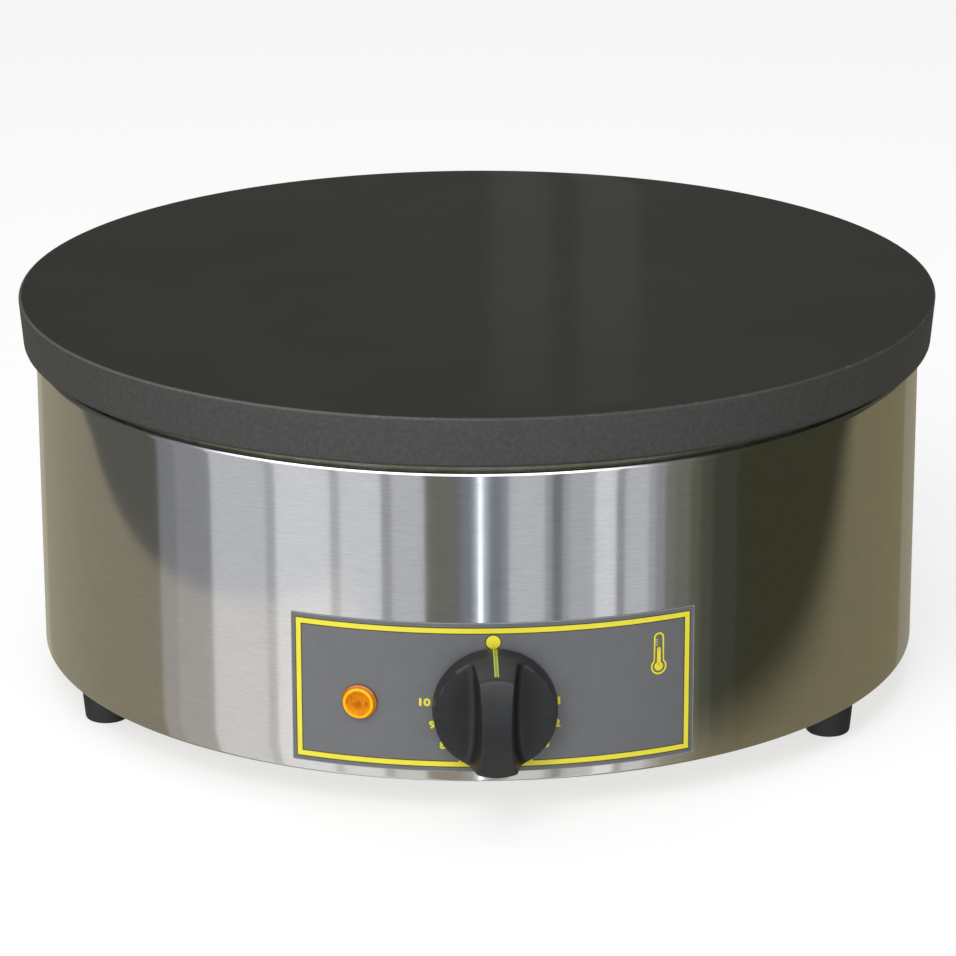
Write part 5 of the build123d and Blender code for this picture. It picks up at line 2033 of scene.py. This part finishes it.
@dataclass
class Studio:
    """Floor, surroundings, lamps and camera.

    The camera's azimuth is in degrees, its tilt and roll in radians, its distance and aim in
    metres. The table's two edges are given by their slant in degrees and their distance from the
    axis in millimetres; a softness is half the run over which an edge fades. A foot is the pair
    of heights, as the sine of the elevation, between which a bright field comes in. Bearings and
    widths of what the metal shows are in degrees.
    """

    azimuth: float = -2.0
    tilt: float = 0.313
    roll: float = -0.003
    distance: float = 1.9275
    aim: tuple[float, float, float] = (0.00025, 0.0, 0.092)
    lens: float = 163.58
    shift_up: float = -0.0232
    metal_gain: float = 1.66
    soft_edge: float = 0.6
    far_left_room: Colour = (0.104, 0.101, 0.088)
    left_room: Colour = (0.080, 0.079, 0.070)
    right_room: Colour = (0.0345, 0.0350, 0.0205)
    table: Colour = (0.114, 0.096, 0.058)
    left_turn: float = 30.0
    left_edge: float = 407.0
    right_turn: float = 28.0
    right_edge: float = 249.0
    left_softness: float = 9.0
    right_softness: float = 42.0
    windows: float = 2.0
    windows_from: float = -70.0
    windows_to: float = 34.0
    windows_softness: float = 12.0
    windows_foot: tuple[float, float] = (0.10, 0.30)
    ceiling: float = 0.7
    ceiling_foot: tuple[float, float] = (0.55, 0.85)
    rear: Colour = (0.052, 0.054, 0.046)
    rear_from: tuple[float, float] = (100.0, 125.0)
    rear_windows: float = 0.34
    rear_streaks: tuple[tuple[float, float], ...] = ((177.0, 177.8), (175.8, 176.6))
    shade_light: float = 0.08
    front_light: float = 1.12
    front_bearing: float = -18.0
    front_width: float = 86.0
    floor_size: float = 9.0
    floor_glow: float = 0.66
    lamp_aim: float = 0.1
    soft_boxes: tuple[SoftBox, ...] = (
        SoftBox("key_soft_box", (-0.6, -1.75, 1.7), 1.3, 19.5),
        SoftBox("fill_soft_box", (1.7, -1.0, 1.2), 1.3, 1.0),
        SoftBox("top_soft_box", (0.0, 0.3, 2.2), 1.5, 14.0),
    )
    screens: tuple[Screen, ...] = (
        Screen(-180.0, -160.0, 0.16, WARM),
        Screen(-92.0, -86.0, 0.175),
        Screen(-86.0, -74.2, 0.215),
        Screen(-74.2, -57.4, 0.435),
        Screen(-57.4, -55.0, 0.33),
        Screen(-55.0, -39.6, 0.555),
        Screen(-39.6, -37.4, 0.36),
        Screen(-37.4, -26.3, 0.52),
        Screen(-26.3, -23.9, 0.27),
        Screen(-23.9, -15.25, 0.41),
        Screen(-15.25, -6.5, 0.128, WARM),
        Screen(-6.5, -3.2, 0.165, COOL),
        Screen(-3.2, -1.7, 0.32, COOL),
        Screen(-1.75, -0.75, 1.7),
        Screen(-0.8, 1.0, 0.32, COOL),
        Screen(1.0, 3.8, 0.165, COOL),
        Screen(3.8, 5.75, 0.22, COOL),
        Screen(5.75, 15.2, 0.42),
        Screen(15.2, 17.0, 0.27),
        Screen(17.0, 19.4, 0.145, COOL),
        Screen(19.4, 21.0, 0.29),
        Screen(21.0, 27.8, 0.355),
        Screen(27.8, 33.6, 0.56),
        Screen(33.6, 35.6, 0.22),
        Screen(35.6, 42.4, 0.41),
        Screen(42.4, 44.4, 0.30),
        Screen(44.4, 46.9, 0.225),
        Screen(46.9, 50.0, 0.145, WARM),
        Screen(50.0, 54.0, 0.125, WARM),
        Screen(54.0, 57.0, 0.088, DUSK),
        Screen(57.0, 60.5, 0.062, DUSK),
        Screen(60.5, 68.0, 0.042, DUSK),
        Screen(146.0, 180.0, 0.08, WARM),
    )

    def turned(self, vector: np.ndarray) -> np.ndarray:
        """The vector turned about the world's z by the camera's azimuth.

        Args:
            vector: any vector.

        Returns:
            The turned vector.
        """
        turn = math.radians(self.azimuth)
        c, s = math.cos(turn), math.sin(turn)
        return np.array([[c, -s, 0], [s, c, 0], [0, 0, 1]]) @ np.asarray(vector, float)

    def camera(self) -> None:
        """Sets the camera at its distance from the aim, tilted down and rolled a little."""
        ahead = np.array([0.0, math.cos(self.tilt), -math.sin(self.tilt)])
        right = np.array([1.0, 0.0, 0.0])
        up = np.cross(right, ahead)
        rolled = math.cos(self.roll) * right + math.sin(self.roll) * up
        upper = -math.sin(self.roll) * right + math.cos(self.roll) * up
        spot = np.array(self.aim) - ahead * self.distance
        data = bpy.data.cameras.new("camera")
        data.sensor_width = 36.0
        data.lens = self.lens
        data.shift_y = self.shift_up
        data.clip_end = 100.0
        camera = bpy.data.objects.new("camera", data)
        bpy.context.scene.collection.objects.link(camera)
        camera.matrix_world = stance(
            self.turned(rolled), self.turned(upper), -self.turned(ahead), self.turned(spot)
        )
        bpy.context.scene.camera = camera

    def world(self) -> None:
        """White for the camera, even light for matt surfaces, and the screens for glossy ones."""
        world = bpy.data.worlds.new("studio")
        bpy.context.scene.world = world
        world.use_nodes = True
        board = Board(world.node_tree)
        way = board.node("ShaderNodeTexCoord", out="Generated")
        x, y, z = board.parts(way)
        bearing = x.maths("ARCTAN2", x, 0.0 - y) * (180 / math.pi)
        shade: Value = board.mix(bearing.rise(-150.0, -112.0), self.far_left_room, self.left_room)
        shade = board.mix(bearing.rise(-10.0, 10.0), shade, self.right_room)
        for screen in self.screens:
            mask = bearing.between(screen.start, screen.end, self.soft_edge / 2)
            shade = board.mix(mask, shade, tuple(screen.level * c for c in screen.tint))
        front = bearing.between(self.windows_from, self.windows_to, self.windows_softness)
        shade = board.mix(front * z.rise(*self.windows_foot), shade, grey(self.windows))
        behind = bearing.size().rise(*self.rear_from) * z.rise(-0.02, 0.02)
        shade = board.mix(behind, shade, self.rear)
        one, other = (bearing.between(start, end, 0.2) for start, end in self.rear_streaks)
        low = z.rise(-0.01, 0.01) * z.rise(0.32, 0.27)
        shade = board.mix((one + other) * low, shade, grey(self.rear_windows))
        shade = board.mix(z.rise(*self.ceiling_foot), shade, grey(self.ceiling))
        rays = board.node("ShaderNodeLightPath", out="Is Camera Ray")
        outputs = rays.socket.node.outputs
        glossy = Link(board, outputs["Is Glossy Ray"])
        clear = Link(board, outputs["Is Transmission Ray"])
        facing = (bearing - self.front_bearing).size().rise(self.front_width, 0.0)
        ambient = board.mix(facing, grey(self.shade_light), grey(self.shade_light + self.front_light))
        lit = board.mix(glossy, ambient, board.mix(1.0, shade, grey(self.metal_gain), "MULTIPLY"))
        lit = board.mix((rays + clear).maths("MINIMUM", rays + clear, 1.0), lit, grey(1.0))
        background = board.node("ShaderNodeBackground", None, {"Color": lit, "Strength": 1.0})
        board.end("ShaderNodeOutputWorld", background)

    def floor(self) -> None:
        """The pale floor: white to the camera with the machine's shadow; metal sees a table top.

        The table top ends at two edges that meet in front of the machine. Metal sees the
        surroundings through it, with the table's own brown laid over them.
        """
        steps = np.linspace(-1, 1, 9) * self.floor_size / 2
        x, y = np.meshgrid(steps, steps)
        mesh = bpy.data.meshes.new("floor")
        number = np.arange(81).reshape(9, 9)
        quads = np.stack([number[:-1, :-1], number[:-1, 1:], number[1:, 1:], number[1:, :-1]], axis=-1)
        points = np.stack([x, y, 0 * x], axis=-1).reshape(-1, 3)
        mesh.from_pydata(points.tolist(), [], quads.reshape(-1, 4).tolist())
        floor = bpy.data.objects.new("floor", mesh)
        bpy.context.scene.collection.objects.link(floor)
        material = bpy.data.materials.new("pale_floor")
        material.use_nodes = True
        board = Board(material.node_tree)
        at = board.place()
        px, py, _ = board.parts(at)
        left_turn, right_turn = math.radians(self.left_turn), math.radians(self.right_turn)
        left = px * math.cos(left_turn) + py * math.sin(left_turn)
        right = py * math.cos(right_turn) - px * math.sin(right_turn)
        on_left = left.rise(-self.left_edge - self.left_softness, self.left_softness - self.left_edge)
        on_right = right.rise(
            -self.right_edge - self.right_softness, self.right_softness - self.right_edge
        )
        paper = board.noise(at, 2.0, 3.0)
        tint = board.mix(paper, grey(0.43), grey(0.45))
        pale = board.mix(paper, (0.72, 0.72, 0.71), (0.75, 0.75, 0.74))
        plain = board.node("ShaderNodeBsdfDiffuse", None, {"Color": pale})
        dull = board.node("ShaderNodeBsdfDiffuse", None, {"Color": tint})
        glow = board.node("ShaderNodeEmission", None, {"Color": grey(1.0), "Strength": self.floor_glow})
        for_camera = board.node("ShaderNodeAddShader", None, [dull, glow])
        dark, light = (tuple(share * c for c in self.table) for share in (0.94, 1.06))
        wood = board.mix(board.noise(at, 40.0, 3.0), dark, light)
        strength = on_left * on_right * self.metal_gain
        brown = board.node("ShaderNodeEmission", None, {"Color": wood, "Strength": strength})
        clear = board.node("ShaderNodeBsdfTransparent", None, {"Color": grey(1.0)})
        for_metal = board.node("ShaderNodeAddShader", None, [clear, brown])
        rays = board.node("ShaderNodeLightPath", out="Is Camera Ray")
        glossy = Link(board, rays.socket.node.outputs["Is Glossy Ray"])
        shader = board.node("ShaderNodeMixShader", None, [glossy, plain, for_metal])
        shader = board.node("ShaderNodeMixShader", None, [rays, shader, for_camera])
        board.end("ShaderNodeOutputMaterial", shader)
        mesh.materials.append(material)

    def lamp(self, box: SoftBox) -> None:
        """Hangs a soft box at its spot, aimed at the machine.

        Args:
            box: the soft box.
        """
        data = bpy.data.lights.new(box.name, "AREA")
        data.size = box.size
        data.energy = box.power
        lamp = bpy.data.objects.new(box.name, data)
        bpy.context.scene.collection.objects.link(lamp)
        spot = np.array(box.spot)
        out = unit(spot - np.array([0.0, 0.0, self.lamp_aim]))
        side = unit(np.cross([0.0, 0.0, 1.0], out))
        lamp.matrix_world = stance(side, np.cross(out, side), out, spot)
        lamp.visible_glossy = False

    def build(self) -> None:
        """Sets up camera, world, floor and lamps."""
        self.camera()
        self.world()
        self.floor()
        for box in self.soft_boxes:
            self.lamp(box)
        bpy.context.scene.view_settings.view_transform = "Standard"


def main() -> None:
    """Builds each sub-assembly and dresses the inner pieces."""
    logging.basicConfig(level=logging.INFO, format="%(message)s")
    finishes = Finishes()
    by_slot = finishes.by_slot()
    for name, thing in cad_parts.items():
        slots = [slot.material.name.split(".")[0] for slot in thing.material_slots if slot.material]
        by_slot[slots[0]].dress(thing)
        LOG.info("%s dressed in %s", name, by_slot[slots[0]].name)
    for assembly in (Griddle(), Drum(), Knob(), ControlLabel(), PilotLamp(), Feet(), Gland()):
        assembly.build(finishes)
        LOG.info("%s built", type(assembly).__name__)
    Studio().build()


if __name__ == "__main__":
    main()
